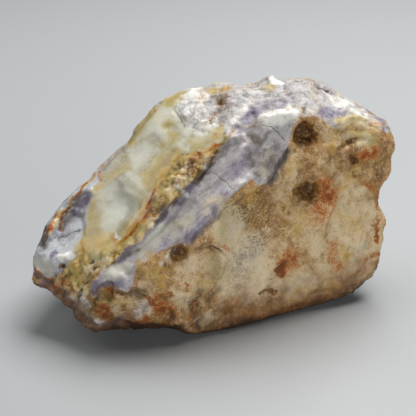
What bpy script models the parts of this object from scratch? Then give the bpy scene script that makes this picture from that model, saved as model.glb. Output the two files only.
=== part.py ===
"""Rough opal: a broken hand specimen about 10 cm long, one solid that stands on a small flat.

The stone is blocked out as the convex hull of its knapped corners, worn a little, and then
carved: raised crusts and knobs, hollows, pits, grooves and a rough grain. +X is the stone's
length, -Y its show side, and Z is up from the flat it rests on. Everything is in metres.
"""

import bmesh
import bpy
import numpy as np
from mathutils import Vector, noise

# Fineness of the carving, and of the finished solid.
CARVING_VOXEL = 0.0010
WORN_EDGE_PASSES = 5
FINISHED_TRIANGLES = 8000

# How much of the lowest point is ground away to leave the flat that the stone rests on.
REST_FLAT_CUT = 0.0005

# Broad unevenness of the broken faces, and the knobbly grain of the rind: (height, spacing).
SWELL = (0.0010, 0.0150)
GRAIN = (0.0006, 0.0045)

# The stone's overall colour and finish.
RIND_COLOUR = (0.56, 0.47, 0.34, 1.0)
RIND_ROUGHNESS = 0.45

# The knapped corners of the block.
CORNERS = {
    # lower edge of the show side, left to right
    "corner_low": (-0.0318, -0.0300, 0.0050),
    "toe": (-0.0015, -0.0252, 0.0008),
    "foot_mid": (0.0090, -0.0195, -0.0003),
    "foot_right": (0.0210, -0.0120, 0.0006),
    "heel_low": (0.0340, -0.0085, 0.0010),
    "heel": (0.0435, -0.0045, 0.0035),
    # right-hand end
    "right_low": (0.0485, -0.0010, 0.0080),
    "right_mid": (0.0455, 0.0060, 0.0220),
    "right_corner": (0.0525, 0.0100, 0.0430),
    "right_end": (0.0500, 0.0140, 0.0470),
    "right_back": (0.0445, 0.0200, 0.0280),
    # rind face and lavender band
    "rind_top_right": (0.0495, 0.0100, 0.0460),
    "rind_top_mid": (0.0380, 0.0020, 0.0505),
    "wedge_peak": (0.0235, -0.0070, 0.0550),
    "band_low_right": (0.0195, -0.0125, 0.0430),
    "band_low_mid": (0.0070, -0.0205, 0.0365),
    "band_end": (-0.0120, -0.0305, 0.0250),
    "band_top_mid": (0.0070, -0.0085, 0.0500),
    # milky face and left-hand end
    "crust_mid": (-0.0075, -0.0180, 0.0380),
    "crust_low": (-0.0200, -0.0275, 0.0250),
    "knob": (-0.0240, -0.0310, 0.0175),
    "left_under_tip": (-0.0450, -0.0170, 0.0140),
    "left_tip": (-0.0478, -0.0150, 0.0172),
    "left_rise": (-0.0450, -0.0060, 0.0240),
    "left_shoulder": (-0.0350, 0.0010, 0.0325),
    "slope_high": (-0.0155, 0.0120, 0.0515),
    # crown
    "crown_left": (-0.0075, 0.0150, 0.0562),
    "crown_mid": (0.0090, 0.0170, 0.0560),
    "crown_peak": (0.0280, 0.0180, 0.0580),
    "crown_right": (0.0380, 0.0180, 0.0530),
    "crown_end": (0.0475, 0.0160, 0.0478),
    # back and underside
    "back_top_right": (0.0340, 0.0250, 0.0430),
    "back_top_mid": (0.0080, 0.0280, 0.0480),
    "back_right": (0.0380, 0.0260, 0.0230),
    "back_mid": (0.0120, 0.0310, 0.0280),
    "back_left": (-0.0200, 0.0260, 0.0270),
    "back_tip": (-0.0400, 0.0080, 0.0180),
    "back_low_right": (0.0340, 0.0200, 0.0075),
    "back_low_mid": (0.0080, 0.0260, 0.0050),
    "back_low_left": (-0.0220, 0.0200, 0.0080),
    "rest_front": (-0.0050, -0.0180, -0.0003),
    "rest_right": (0.0200, 0.0040, -0.0003),
    "rest_back": (0.0060, 0.0130, -0.0003),
    "rest_left": (-0.0100, 0.0060, -0.0003),
}

# What stands out (+) or is sunk (-): (height, radius, points of the line that it follows).
RELIEF = {
    # the brown crystal crust between the milky face and the lavender band
    "crust": (0.0018, 0.0045, [(-0.0295, -0.0240, 0.0215), (-0.0225, -0.0245, 0.0255),
                               (-0.0165, -0.0190, 0.0325), (-0.0085, -0.0150, 0.0390),
                               (-0.0005, -0.0110, 0.0455), (0.0050, -0.0080, 0.0495)]),
    "crust_knot": (0.0012, 0.0030, [(-0.0095, -0.0160, 0.0380), (-0.0060, -0.0140, 0.0410)]),
    "crust_foot": (-0.0012, 0.0022, [(-0.0235, -0.0265, 0.0235), (-0.0150, -0.0250, 0.0290),
                                     (-0.0095, -0.0210, 0.0345), (-0.0050, -0.0165, 0.0395),
                                     (0.0040, -0.0100, 0.0480)]),
    # the lavender band and its raised end
    "band": (-0.0010, 0.0060, [(-0.0145, -0.0270, 0.0275), (0.0020, -0.0175, 0.0405),
                               (0.0170, -0.0115, 0.0490)]),
    "band_foot": (-0.0008, 0.0018, [(-0.0055, -0.0270, 0.0290), (0.0020, -0.0225, 0.0345),
                                    (0.0070, -0.0200, 0.0375)]),
    "band_lobe": (0.0007, 0.0035, [(0.0140, -0.0165, 0.0370), (0.0165, -0.0145, 0.0420)]),
    "wedge": (0.0016, 0.0032, [(0.0140, -0.0055, 0.0530), (0.0215, -0.0050, 0.0555),
                               (0.0230, -0.0080, 0.0545)]),
    "wedge_foot": (-0.0010, 0.0022, [(0.0075, -0.0055, 0.0515), (0.0140, -0.0005, 0.0550),
                                     (0.0205, 0.0010, 0.0560)]),
    # pits of the rind
    "pit_high": (-0.0030, 0.0052, [(0.0255, -0.0065, 0.0500)]),
    "pit_mid": (-0.0021, 0.0054, [(0.0265, -0.0095, 0.0355)]),
    "pit_low": (-0.0020, 0.0038, [(-0.0075, -0.0280, 0.0265)]),
    "pit_right": (-0.0010, 0.0026, [(0.0390, 0.0000, 0.0405)]),
    "pit_foot": (-0.0009, 0.0018, [(0.0145, -0.0170, 0.0100), (0.0165, -0.0165, 0.0100)]),
    "pit_rust": (-0.0008, 0.0022, [(0.0200, -0.0150, 0.0150)]),
    "crown_pit": (-0.0012, 0.0018, [(0.0120, -0.0025, 0.0540)]),
    "right_groove": (-0.0009, 0.0016, [(0.0345, -0.0020, 0.0450), (0.0400, 0.0020, 0.0455)]),
    "rind_bulge": (0.0010, 0.0130, [(0.0280, -0.0110, 0.0230)]),
    "rind_dish": (-0.0009, 0.0100, [(0.0100, -0.0185, 0.0250)]),
    # flakes struck off the rind
    "flake": (0.0009, 0.0080, [(-0.0010, -0.0250, 0.0180)]),
    "flake_edge": (-0.0009, 0.0016, [(0.0010, -0.0240, 0.0265), (0.0055, -0.0220, 0.0210),
                                     (0.0045, -0.0220, 0.0145), (0.0010, -0.0235, 0.0095)]),
    "flake_seam": (-0.0008, 0.0014, [(-0.0005, -0.0250, 0.0235), (-0.0020, -0.0250, 0.0125),
                                     (-0.0040, -0.0255, 0.0085)]),
    # knobs and hollows of the lower left corner
    "knob_arch": (0.0020, 0.0024, [(-0.0295, -0.0275, 0.0160), (-0.0275, -0.0275, 0.0185),
                                   (-0.0235, -0.0285, 0.0207), (-0.0205, -0.0305, 0.0185)]),
    "knob_hollow": (-0.0018, 0.0034, [(-0.0250, -0.0315, 0.0155)]),
    "white_knob": (0.0014, 0.0026, [(-0.0325, -0.0285, 0.0125)]),
    "brown_knob": (0.0012, 0.0022, [(-0.0290, -0.0250, 0.0200)]),
    "crust_end_hollow": (-0.0010, 0.0016, [(-0.0305, -0.0235, 0.0225)]),
    "low_hollow": (-0.0013, 0.0044, [(-0.0175, -0.0305, 0.0140)]),
    "foot_lump_left": (0.0015, 0.0036, [(-0.0170, -0.0300, 0.0085)]),
    "foot_lump_mid": (0.0014, 0.0032, [(-0.0080, -0.0278, 0.0058)]),
    "arch": (-0.0032, 0.0055, [(-0.0165, -0.0280, 0.0022), (-0.0105, -0.0268, 0.0012)]),
    "under_lump": (0.0028, 0.0050, [(-0.0440, -0.0160, 0.0125)]),
    # the left-hand facet
    "left_crack": (-0.0007, 0.0011, [(-0.0400, -0.0125, 0.0230), (-0.0370, -0.0135, 0.0240),
                                     (-0.0335, -0.0140, 0.0260)]),
    "left_dish": (-0.0011, 0.0065, [(-0.0370, -0.0110, 0.0260)]),
    "rim_finger": (0.0013, 0.0018, [(-0.0390, -0.0055, 0.0275), (-0.0415, -0.0110, 0.0235)]),
    "rim": (0.0009, 0.0022, [(-0.0380, -0.0040, 0.0295), (-0.0330, -0.0025, 0.0335)]),
    # the milky face
    "scoop_low": (-0.0013, 0.0090, [(-0.0245, -0.0120, 0.0325)]),
    "scoop_high": (-0.0011, 0.0080, [(-0.0155, -0.0015, 0.0435)]),
    "vein": (0.0009, 0.0022, [(-0.0220, -0.0040, 0.0385), (-0.0190, -0.0090, 0.0370),
                              (-0.0155, -0.0140, 0.0360)]),
    "vein_high": (0.0008, 0.0022, [(-0.0150, -0.0065, 0.0405), (-0.0080, -0.0030, 0.0465)]),
    "glass_knob": (0.0014, 0.0028, [(-0.0065, -0.0045, 0.0460)]),
    "glass_knob_high": (0.0009, 0.0024, [(-0.0130, 0.0025, 0.0475)]),
    "slope_dish": (-0.0013, 0.0100, [(-0.0300, 0.0030, 0.0375), (-0.0220, 0.0090, 0.0450)]),
    # the crown
    "crown_bump": (0.0016, 0.0028, [(0.0175, 0.0170, 0.0570)]),
    "crown_swell": (0.0012, 0.0080, [(0.0040, 0.0100, 0.0560)]),
    "crown_dip": (-0.0026, 0.0058, [(0.0110, 0.0160, 0.0560)]),
    "crown_lump": (0.0010, 0.0060, [(0.0265, 0.0125, 0.0570)]),
    "crown_ledge": (-0.0010, 0.0022, [(0.0300, 0.0160, 0.0560), (0.0330, 0.0080, 0.0540)]),
    "crown_shelf": (0.0009, 0.0035, [(0.0350, 0.0080, 0.0525), (0.0430, 0.0110, 0.0500)]),
    # the right-hand end
    "right_notch": (-0.0032, 0.0085, [(0.0475, 0.0060, 0.0270)]),
    "right_ledge": (0.0010, 0.0030, [(0.0470, 0.0100, 0.0340), (0.0440, 0.0200, 0.0300)]),
    "right_scoop": (-0.0022, 0.0080, [(0.0480, 0.0130, 0.0190)]),
    "right_pit": (-0.0014, 0.0024, [(0.0490, 0.0140, 0.0400)]),
    # the back: three struck scoops with ridges between them, the crust, and pits
    "back_scoop": (-0.0030, 0.0130, [(0.0180, 0.0300, 0.0270)]),
    "back_scoop_left": (-0.0024, 0.0110, [(-0.0120, 0.0270, 0.0300)]),
    "back_scoop_right": (-0.0018, 0.0080, [(0.0380, 0.0250, 0.0340)]),
    "back_ridge": (0.0016, 0.0030, [(0.0020, 0.0290, 0.0440), (0.0050, 0.0300, 0.0270),
                                    (0.0000, 0.0260, 0.0100)]),
    "back_crust": (0.0016, 0.0045, [(-0.0120, 0.0180, 0.0500), (-0.0240, 0.0190, 0.0320),
                                    (-0.0290, 0.0160, 0.0160)]),
    "back_groove": (-0.0012, 0.0022, [(-0.0060, 0.0230, 0.0500), (-0.0170, 0.0250, 0.0320),
                                      (-0.0230, 0.0220, 0.0150)]),
    "back_pit": (-0.0024, 0.0036, [(0.0300, 0.0240, 0.0170)]),
    "back_pit_low": (-0.0016, 0.0028, [(0.0080, 0.0270, 0.0110)]),
    "back_lump": (0.0015, 0.0045, [(0.0160, 0.0270, 0.0460)]),
    "back_shelf": (-0.0016, 0.0060, [(-0.0340, 0.0120, 0.0200)]),
    # the underside, clear of the resting flat
    "under_scoop": (-0.0020, 0.0080, [(-0.0310, -0.0020, 0.0070)]),
    "under_ridge": (0.0012, 0.0030, [(-0.0210, 0.0080, 0.0030), (-0.0260, -0.0150, 0.0035)]),
    "under_heel": (-0.0012, 0.0060, [(0.0400, 0.0080, 0.0050)]),
}

# Broken glassy faces, where the grain fades out: (radius, points of the line along the face).
SMOOTH_FACES = {
    "milky_face": (0.0110, [(-0.0290, -0.0120, 0.0290), (-0.0180, -0.0060, 0.0400),
                            (-0.0100, 0.0030, 0.0490)]),
    "lavender_band": (0.0060, [(-0.0145, -0.0270, 0.0275), (0.0020, -0.0175, 0.0405),
                               (0.0170, -0.0115, 0.0490)]),
    "left_facet": (0.0080, [(-0.0370, -0.0110, 0.0260)]),
    "flake_scar": (0.0060, [(0.0060, -0.0200, 0.0300)]),
    "back_scar": (0.0110, [(0.0180, 0.0300, 0.0270)]),
    "back_scar_left": (0.0100, [(-0.0120, 0.0270, 0.0300)]),
}


def clear_scene():
    for old in list(bpy.data.objects):
        bpy.data.objects.remove(old, do_unlink=True)


def blocked_out(name):
    """The convex hull of the corners, as an object."""
    block = bmesh.new()
    for place in CORNERS.values():
        block.verts.new(place)
    hull = bmesh.ops.convex_hull(block, input=block.verts)
    inner = hull["geom_interior"] + hull["geom_unused"]
    loose = {v for v in inner if isinstance(v, bmesh.types.BMVert)}
    bmesh.ops.delete(block, geom=list(loose), context="VERTS")
    bmesh.ops.recalc_face_normals(block, faces=block.faces)
    mesh = bpy.data.meshes.new(name)
    block.to_mesh(mesh)
    block.free()
    return bpy.data.objects.new(name, mesh)


def settle_modifiers(stone):
    """Make the object's mesh what its modifiers show, and clear them."""
    seen = stone.evaluated_get(bpy.context.evaluated_depsgraph_get())
    stone.data = bpy.data.meshes.new_from_object(seen)
    stone.modifiers.clear()


def remesh_and_wear(stone):
    """An even skin of small faces, with the sharp corners of the block worn round."""
    skin = stone.modifiers.new("even skin", "REMESH")
    skin.mode = "VOXEL"
    skin.voxel_size = CARVING_VOXEL
    wear = stone.modifiers.new("worn edges", "SMOOTH")
    wear.factor = 0.5
    wear.iterations = WORN_EDGE_PASSES
    settle_modifiers(stone)


def vertex_places(mesh):
    places = np.empty(len(mesh.vertices) * 3)
    mesh.vertices.foreach_get("co", places)
    return places.reshape(-1, 3)


def vertex_normals(mesh):
    normals = np.empty(len(mesh.vertices) * 3)
    mesh.vertex_normals.foreach_get("vector", normals)
    return normals.reshape(-1, 3)


def distance_to_line(places, points):
    """How far each place is from a line through the points, or from a single point."""
    line = [np.array(point) for point in points]
    nearest = np.linalg.norm(places - line[0], axis=1)
    for start, end in zip(line, line[1:]):
        run = end - start
        along = np.clip((places - start) @ run / (run @ run), 0.0, 1.0)
        nearest = np.minimum(nearest, np.linalg.norm(places - start - along[:, None] * run, axis=1))
    return nearest


def fade(distance, radius):
    """1 on the line, easing to 0 at the radius."""
    near = np.clip(1.0 - (distance / radius) ** 2, 0.0, 1.0)
    return near * near


def carve_relief(stone):
    mesh = stone.data
    places = vertex_places(mesh)
    normals = vertex_normals(mesh)
    rise = np.zeros(len(places))
    for height, radius, points in RELIEF.values():
        rise += height * fade(distance_to_line(places, points), radius)
    places += normals * rise[:, None]
    mesh.vertices.foreach_set("co", places.ravel())
    mesh.update()


def roughen(stone):
    """Swell every face unevenly, and grain the rind, the crusts and the crown."""
    mesh = stone.data
    places = vertex_places(mesh)
    normals = vertex_normals(mesh)
    polish = np.zeros(len(places))
    for radius, points in SMOOTH_FACES.values():
        polish = np.maximum(polish, fade(distance_to_line(places, points), radius))
    swell = [noise.fractal(Vector(place) / SWELL[1], 0.7, 2.0, 2) for place in places]
    grain = [noise.fractal(Vector(place) / GRAIN[1], 0.6, 2.0, 2) for place in places]
    above_flat = np.clip(places[:, 2] / 0.003, 0.0, 1.0)
    rise = SWELL[0] * np.array(swell) + GRAIN[0] * np.array(grain) * (1.0 - 0.85 * polish)
    places += normals * (rise * above_flat)[:, None]
    mesh.vertices.foreach_set("co", places.ravel())
    mesh.update()


def simplify(stone):
    """Fewer, larger faces, with the small ones left where the relief is."""
    triangles = sum(len(face.vertices) - 2 for face in stone.data.polygons)
    thin = stone.modifiers.new("fewer faces", "DECIMATE")
    thin.ratio = FINISHED_TRIANGLES / triangles
    thin.use_collapse_triangulate = True
    settle_modifiers(stone)


def cut_rest_flat(stone):
    """Grind the lowest points to one flat, close it, and centre the stone over it at z = 0."""
    block = bmesh.new()
    block.from_mesh(stone.data)
    floor = min(v.co.z for v in block.verts) + REST_FLAT_CUT
    everything = block.verts[:] + block.edges[:] + block.faces[:]
    cut = bmesh.ops.bisect_plane(block, geom=everything, dist=1e-7, plane_co=(0, 0, floor),
                                 plane_no=(0, 0, -1), clear_outer=True)
    rim = [edge for edge in cut["geom_cut"] if isinstance(edge, bmesh.types.BMEdge)]
    bmesh.ops.holes_fill(block, edges=rim)
    bmesh.ops.triangulate(block, faces=[face for face in block.faces if len(face.verts) > 3])
    xs = [v.co.x for v in block.verts]
    ys = [v.co.y for v in block.verts]
    middle = Vector(((min(xs) + max(xs)) / 2, (min(ys) + max(ys)) / 2, floor))
    bmesh.ops.translate(block, verts=block.verts, vec=-middle)
    bmesh.ops.recalc_face_normals(block, faces=block.faces)
    block.to_mesh(stone.data)
    block.free()


def rind_material():
    material = bpy.data.materials.new("opal rind")
    material.use_nodes = True
    shader = material.node_tree.nodes["Principled BSDF"]
    shader.inputs["Base Color"].default_value = RIND_COLOUR
    shader.inputs["Roughness"].default_value = RIND_ROUGHNESS
    shader.inputs["Metallic"].default_value = 0.0
    return material


def main():
    clear_scene()
    parts = bpy.data.collections.new("rough opal")
    bpy.context.scene.collection.children.link(parts)
    stone = blocked_out("rough_opal")
    parts.objects.link(stone)
    remesh_and_wear(stone)
    carve_relief(stone)
    roughen(stone)
    simplify(stone)
    cut_rest_flat(stone)
    stone.data.materials.append(rind_material())


main()
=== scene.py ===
import math

import bmesh
import bpy
import numpy as np
from mathutils import Matrix, Vector, noise
from mathutils.bvhtree import BVHTree

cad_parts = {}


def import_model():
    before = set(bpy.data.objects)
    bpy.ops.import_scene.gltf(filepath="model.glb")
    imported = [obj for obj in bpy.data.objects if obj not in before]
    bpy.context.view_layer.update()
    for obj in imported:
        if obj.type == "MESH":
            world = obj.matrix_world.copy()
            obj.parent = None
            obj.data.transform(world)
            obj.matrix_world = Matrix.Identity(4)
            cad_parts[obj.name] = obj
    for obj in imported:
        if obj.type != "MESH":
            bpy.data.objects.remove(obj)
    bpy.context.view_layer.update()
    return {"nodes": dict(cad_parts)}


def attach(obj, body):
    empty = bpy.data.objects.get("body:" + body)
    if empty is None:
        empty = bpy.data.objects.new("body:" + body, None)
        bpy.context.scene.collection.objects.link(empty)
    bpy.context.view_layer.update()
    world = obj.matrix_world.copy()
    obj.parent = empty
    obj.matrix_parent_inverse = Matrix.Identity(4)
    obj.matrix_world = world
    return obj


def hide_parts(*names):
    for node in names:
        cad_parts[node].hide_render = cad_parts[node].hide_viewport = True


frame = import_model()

# Rough opal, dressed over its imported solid. Lengths are in metres unless a name or note says mm.
# Places on the show side are given in pixels of the 416 x 416 frame that the camera sees.

stone = frame["nodes"]["rough_opal"]
mm = 0.001

view = {                                  # the camera, which also turns frame pixels into places
    "elevation": 25.0,                    # degrees above the floor
    "distance": 0.322,
    "lensAngle": 20.0,
    "lookAt": (-0.0025, -0.0004, 0.0263),
    "clipStart": 0.01,
    "frameSide": 416,
    "depthWeight": 0.4,                   # how much depth counts beside sideways distance in a stroke
}
pixelsAcross = view["frameSide"] / 2 / math.tan(math.radians(view["lensAngle"] / 2))
tilt = math.radians(view["elevation"])
towardCamera = np.array([0.0, -math.cos(tilt), math.sin(tilt)])
frameUp = np.array([0.0, math.sin(tilt), math.cos(tilt)])
frameRight = np.array([1.0, 0.0, 0.0])
eye = np.array(view["lookAt"]) + towardCamera * view["distance"]
pixelsPerMetre = pixelsAcross / view["distance"]


def lineOfSight(pixel):
    across = (pixel[0] - view["frameSide"] / 2) / pixelsAcross
    down = (pixel[1] - view["frameSide"] / 2) / pixelsAcross
    way = frameRight * across - frameUp * down - towardCamera
    return way / np.linalg.norm(way)


def pictureSpace(places):
    # frame x, frame y, and depth weighted so that all three compare as pixels
    away = np.atleast_2d(places) - eye
    depth = -(away @ towardCamera)
    x = view["frameSide"] / 2 + pixelsAcross * (away @ frameRight) / depth
    y = view["frameSide"] / 2 - pixelsAcross * (away @ frameUp) / depth
    z = (depth - view["distance"]) * pixelsPerMetre * view["depthWeight"]
    return np.stack([x, y, z], 1)


def linked(name, data):
    made = bpy.data.objects.new(name, data)
    bpy.context.scene.collection.objects.link(made)
    return made


def makeCamera():
    lens = bpy.data.cameras.new("camera")
    lens.angle = math.radians(view["lensAngle"])
    lens.clip_start = view["clipStart"]
    camera = linked("camera", lens)
    camera.location = eye
    camera.rotation_euler = (math.radians(90.0 - view["elevation"]), 0.0, 0.0)
    bpy.context.scene.camera = camera


def readAll(items, name, width, kind=np.float32):
    # one property of every vertex or edge, a row each
    flat = np.empty(len(items) * width, kind)
    items.foreach_get(name, flat)
    return flat.reshape(-1, width)


def vertexPlaces(mesh):
    return readAll(mesh.vertices, "co", 3).astype(float)


def setPlaces(mesh, places):
    mesh.vertices.foreach_set("co", places.astype(np.float32).ravel())
    mesh.update()


def smoothed(values, edges, passes):
    # repeated average of each vertex with its neighbours
    values = values.reshape(len(values), -1).copy()
    count = np.bincount(edges.ravel(), minlength=len(values))[:, None]
    for turn in range(passes):
        total = np.zeros_like(values)
        for column in range(values.shape[1]):
            total[:, column] = (np.bincount(edges[:, 0], values[edges[:, 1], column], len(values))
                                + np.bincount(edges[:, 1], values[edges[:, 0], column], len(values)))
        values = 0.5 * values + 0.5 * total / count
    return values


def unit(rows):
    return rows / np.linalg.norm(rows, axis=1)[:, None]


def softNormals(mesh, edges, passes):
    return unit(smoothed(readAll(mesh.vertex_normals, "vector", 3).astype(float), edges, passes))


def ease(value, low, high):
    share = np.clip((value - low) / (high - low), 0.0, 1.0)
    return share * share * (3.0 - 2.0 * share)


def toLine(places, points):
    # distance from each place to a line through the points
    points = [np.array(point, float) for point in points]
    nearest = np.linalg.norm(places - points[0], axis=1)
    for start, end in zip(points, points[1:]):
        run = end - start
        along = np.clip((places - start) @ run / max(run @ run, 1e-12), 0.0, 1.0)
        nearest = np.minimum(nearest, np.linalg.norm(places - start - along[:, None] * run, axis=1))
    return nearest


def seedShift(seed):
    return Vector((seed * 7.3, seed * 3.1, seed * 5.7))


def cloudy(places, size, octaves=3, seed=0.0):
    # fractal noise, about -1 to 1, with features of that size
    shift = seedShift(seed)
    return np.array([noise.fractal(Vector(place) / size + shift, 0.8, 2.0, octaves) for place in places])


def ridgy(places, size, octaves=3, seed=0.0):
    # crisp winding ridges, about -1 to 1
    shift = seedShift(seed)
    return np.array([noise.ridged_multi_fractal(Vector(place) / size + shift, 0.9, 2.1, octaves, 1.0, 2.0)
                     for place in places]) - 1.0


def cellReach(places, size, seed):
    # distance from each place to the nearest scattered point, in sizes
    shift = seedShift(seed)
    return np.array([noise.voronoi(Vector(place) / size + shift)[0][0] for place in places])


def lumpy(places, size, seed=0.0):
    # round lumps packed side by side, 0 between them to about 1 on top
    return np.clip(1.0 - cellReach(places, size, seed), 0.0, 1.0)


def chipped(places, size, seed=0.0):
    # shallow bowls that meet in crisp rims, like struck chips, about -0.5 to 0.5
    bend = np.stack([cloudy(places, size * 0.8, 2, seed + turn) for turn in range(3)], 1)
    nearest = cellReach(places + bend * size * 0.3, size, seed)
    return np.clip(nearest * nearest * 1.6 - 0.5, -0.5, 0.7)


def alongWay(places, way, share):
    # places squeezed along a direction, so that noise read there runs in streaks
    way = np.array(way) / np.linalg.norm(way)
    return places - (places @ way)[:, None] * way * share


strays = {                                # how edges stray: size, octaves, seeds, reach in pixels
    "border": (0.0060, 3, (1.0, 2.0), 2.2),
    "relief": (0.0028, 3, (5.0, 6.0, 7.0), 1.6),
    "stain": (0.0034, 4, (15.0, 16.0, 17.0), 3.0),
    "crack": (0.0016, 2, (31.0, 32.0), 0.8),
}


def strayed(kind):
    # frame places bent a little, so that what is drawn there gets a natural edge
    size, octaves, seeds, reach = strays[kind]
    stray = np.stack([cloudy(places, size, octaves, seed) for seed in seeds], 1)
    return picture[:, :len(seeds)] + stray * reach


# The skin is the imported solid's surface, remade finely.
skinSettings = {
    "voxel": 0.0005,
    "softenFacets": 9,                    # passes of smoothing
    "broadNormals": 12,
    "reliefNormals": 4,
    "faceFrom": -0.05,                    # how far a place must face the camera to count as shown
    "faceFull": 0.2,
    "slot": "opal",
}


def makeSkin():
    skin = stone.copy()
    skin.data = stone.data.copy()
    skin.name = "opalSkin"
    skin.data.name = "opalSkin"
    skin.parent = None
    for key in list(skin.keys()):
        del skin[key]
    bpy.context.scene.collection.objects.link(skin)
    fine = skin.modifiers.new("fine skin", "REMESH")
    fine.mode = "VOXEL"
    fine.voxel_size = skinSettings["voxel"]
    seen = skin.evaluated_get(bpy.context.evaluated_depsgraph_get())
    skin.data = bpy.data.meshes.new_from_object(seen)
    skin.modifiers.clear()
    edges = readAll(skin.data.edges, "vertices", 2, np.int32)
    setPlaces(skin.data, smoothed(vertexPlaces(skin.data), edges, skinSettings["softenFacets"]))
    return skin


def surfaceTree(mesh):
    corners = [vertex.co.copy() for vertex in mesh.vertices]
    return BVHTree.FromPolygons(corners, [tuple(face.vertices) for face in mesh.polygons])


def onStone(tree, pixel):
    # the place on the stone seen at a pixel, or the nearest one if it just misses
    way = lineOfSight(pixel)
    place = tree.ray_cast(Vector(eye), Vector(way))[0]
    if place is None:
        place = tree.find_nearest(Vector(eye + way * view["distance"]))[0]
    return np.array(place)


def insideBy(points, outline):
    # distance in from an outline, in pixels, negative outside it
    outline = np.array(outline, float)
    ends = np.roll(outline, -1, axis=0)
    inside = np.zeros(len(points), bool)
    for start, end in zip(outline, ends):
        crosses = (start[1] > points[:, 1]) != (end[1] > points[:, 1])
        rise = end[1] - start[1] if end[1] != start[1] else 1e-9
        at = start[0] + (points[:, 1] - start[1]) * (end[0] - start[0]) / rise
        inside ^= crosses & (points[:, 0] < at)
    distance = toLine(points, list(outline) + [outline[0]])
    return np.where(inside, distance, -distance)


flatFaces = {                             # broken faces: lean right, lean up, outline in frame pixels
    "left": (0.00, 0.06, [(72, 209), (84, 214), (86, 234), (80, 251), (66, 262), (54, 262), (46, 250),
        (56, 240), (58, 224)]),
    "leftLow": (-0.10, -0.05, [(30, 264), (38, 250), (46, 252), (60, 262), (58, 273), (44, 277)]),
    "leftFar": (-0.25, -0.25, [(34, 256), (40, 238), (52, 222), (57, 234), (46, 250)]),
    "violet": (-0.10, -0.10, [(72, 209), (63, 212), (76, 196), (92, 182), (96, 194), (90, 208), (84, 214)]),
    "triangle": (0.05, -0.40, [(243, 130), (268, 131), (256, 148)]),
    "wedge": (0.00, 0.25, [(257, 125), (262, 112), (284, 106), (297, 104), (300, 114), (297, 119),
        (280, 121)]),
    "bandHigh": (-0.05, 0.05, [(215, 160), (228, 140), (243, 131), (256, 148), (246, 160), (236, 178),
        (224, 190), (205, 206), (184, 226), (170, 222), (186, 200), (204, 184)]),
    "bandLow": (0.10, -0.30, [(184, 226), (205, 206), (224, 190), (236, 178), (250, 180), (234, 194),
        (214, 216), (194, 240), (184, 246)]),
    "bandFoot": (0.00, -0.05, [(120, 262), (150, 238), (170, 222), (184, 226), (184, 246), (160, 252),
        (136, 268)]),
    "lobe": (0.12, -0.15, [(262, 146), (290, 138), (287, 150), (279, 166), (270, 182), (258, 178),
        (256, 160)]),
    "crownRight": (0.05, 0.00, [(300, 92), (330, 88), (346, 104), (336, 122), (312, 112)]),
    "crownEnd": (0.15, 0.05, [(346, 104), (336, 90), (366, 100), (386, 116), (366, 116)]),
    "flake": (0.00, 0.05, [(214, 206), (244, 196), (246, 220), (240, 244), (224, 246), (208, 238)]),
    "flakeLow": (-0.05, 0.08, [(196, 256), (214, 248), (226, 260), (222, 274), (206, 280), (190, 270)]),
    "rindHigh": (0.05, -0.08, [(318, 142), (384, 140), (380, 190), (340, 184), (322, 162)]),
    "rindFoot": (0.00, -0.15, [(284, 300), (340, 282), (376, 264), (352, 296), (300, 314)]),
}
flatStep = 1.0                            # mm, the most that a broken face moves the skin
flatRim = 3.5                             # pixels over which it joins the skin around it


def breakFlat(places):
    # lays each broken face on its own best plane, tilted by its leans
    broken = places.copy()
    for leanRight, leanUp, outline in flatFaces.values():
        share = ease(insideBy(picture[:, :2], outline), 0.0, flatRim) * shown
        chosen = broken[share > 0.5]
        middle = chosen.mean(0)
        outward = np.linalg.svd(chosen - middle, full_matrices=False)[2][2]
        outward = outward * np.sign(outward @ towardCamera) + frameRight * leanRight + frameUp * leanUp
        outward /= np.linalg.norm(outward)
        off = np.clip((broken - middle) @ outward, -flatStep * mm, flatStep * mm)
        broken -= (share * off)[:, None] * outward
    return smoothed(broken, edges, 1)


print("skin")
makeCamera()
skin = makeSkin()
tree = surfaceTree(skin.data)
edges = readAll(skin.data.edges, "vertices", 2, np.int32)
places = vertexPlaces(skin.data)
print("skin vertices", len(places), "faces", len(skin.data.polygons))
normals = softNormals(skin.data, edges, skinSettings["broadNormals"])
picture = pictureSpace(places)
facing = (normals * unit(eye - places)).sum(1)
shown = ease(facing, skinSettings["faceFrom"], skinSettings["faceFull"])      # 1 on the show side, 0 behind
hidden = 1.0 - shown
places = breakFlat(places)
setPlaces(skin.data, places)

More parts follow.
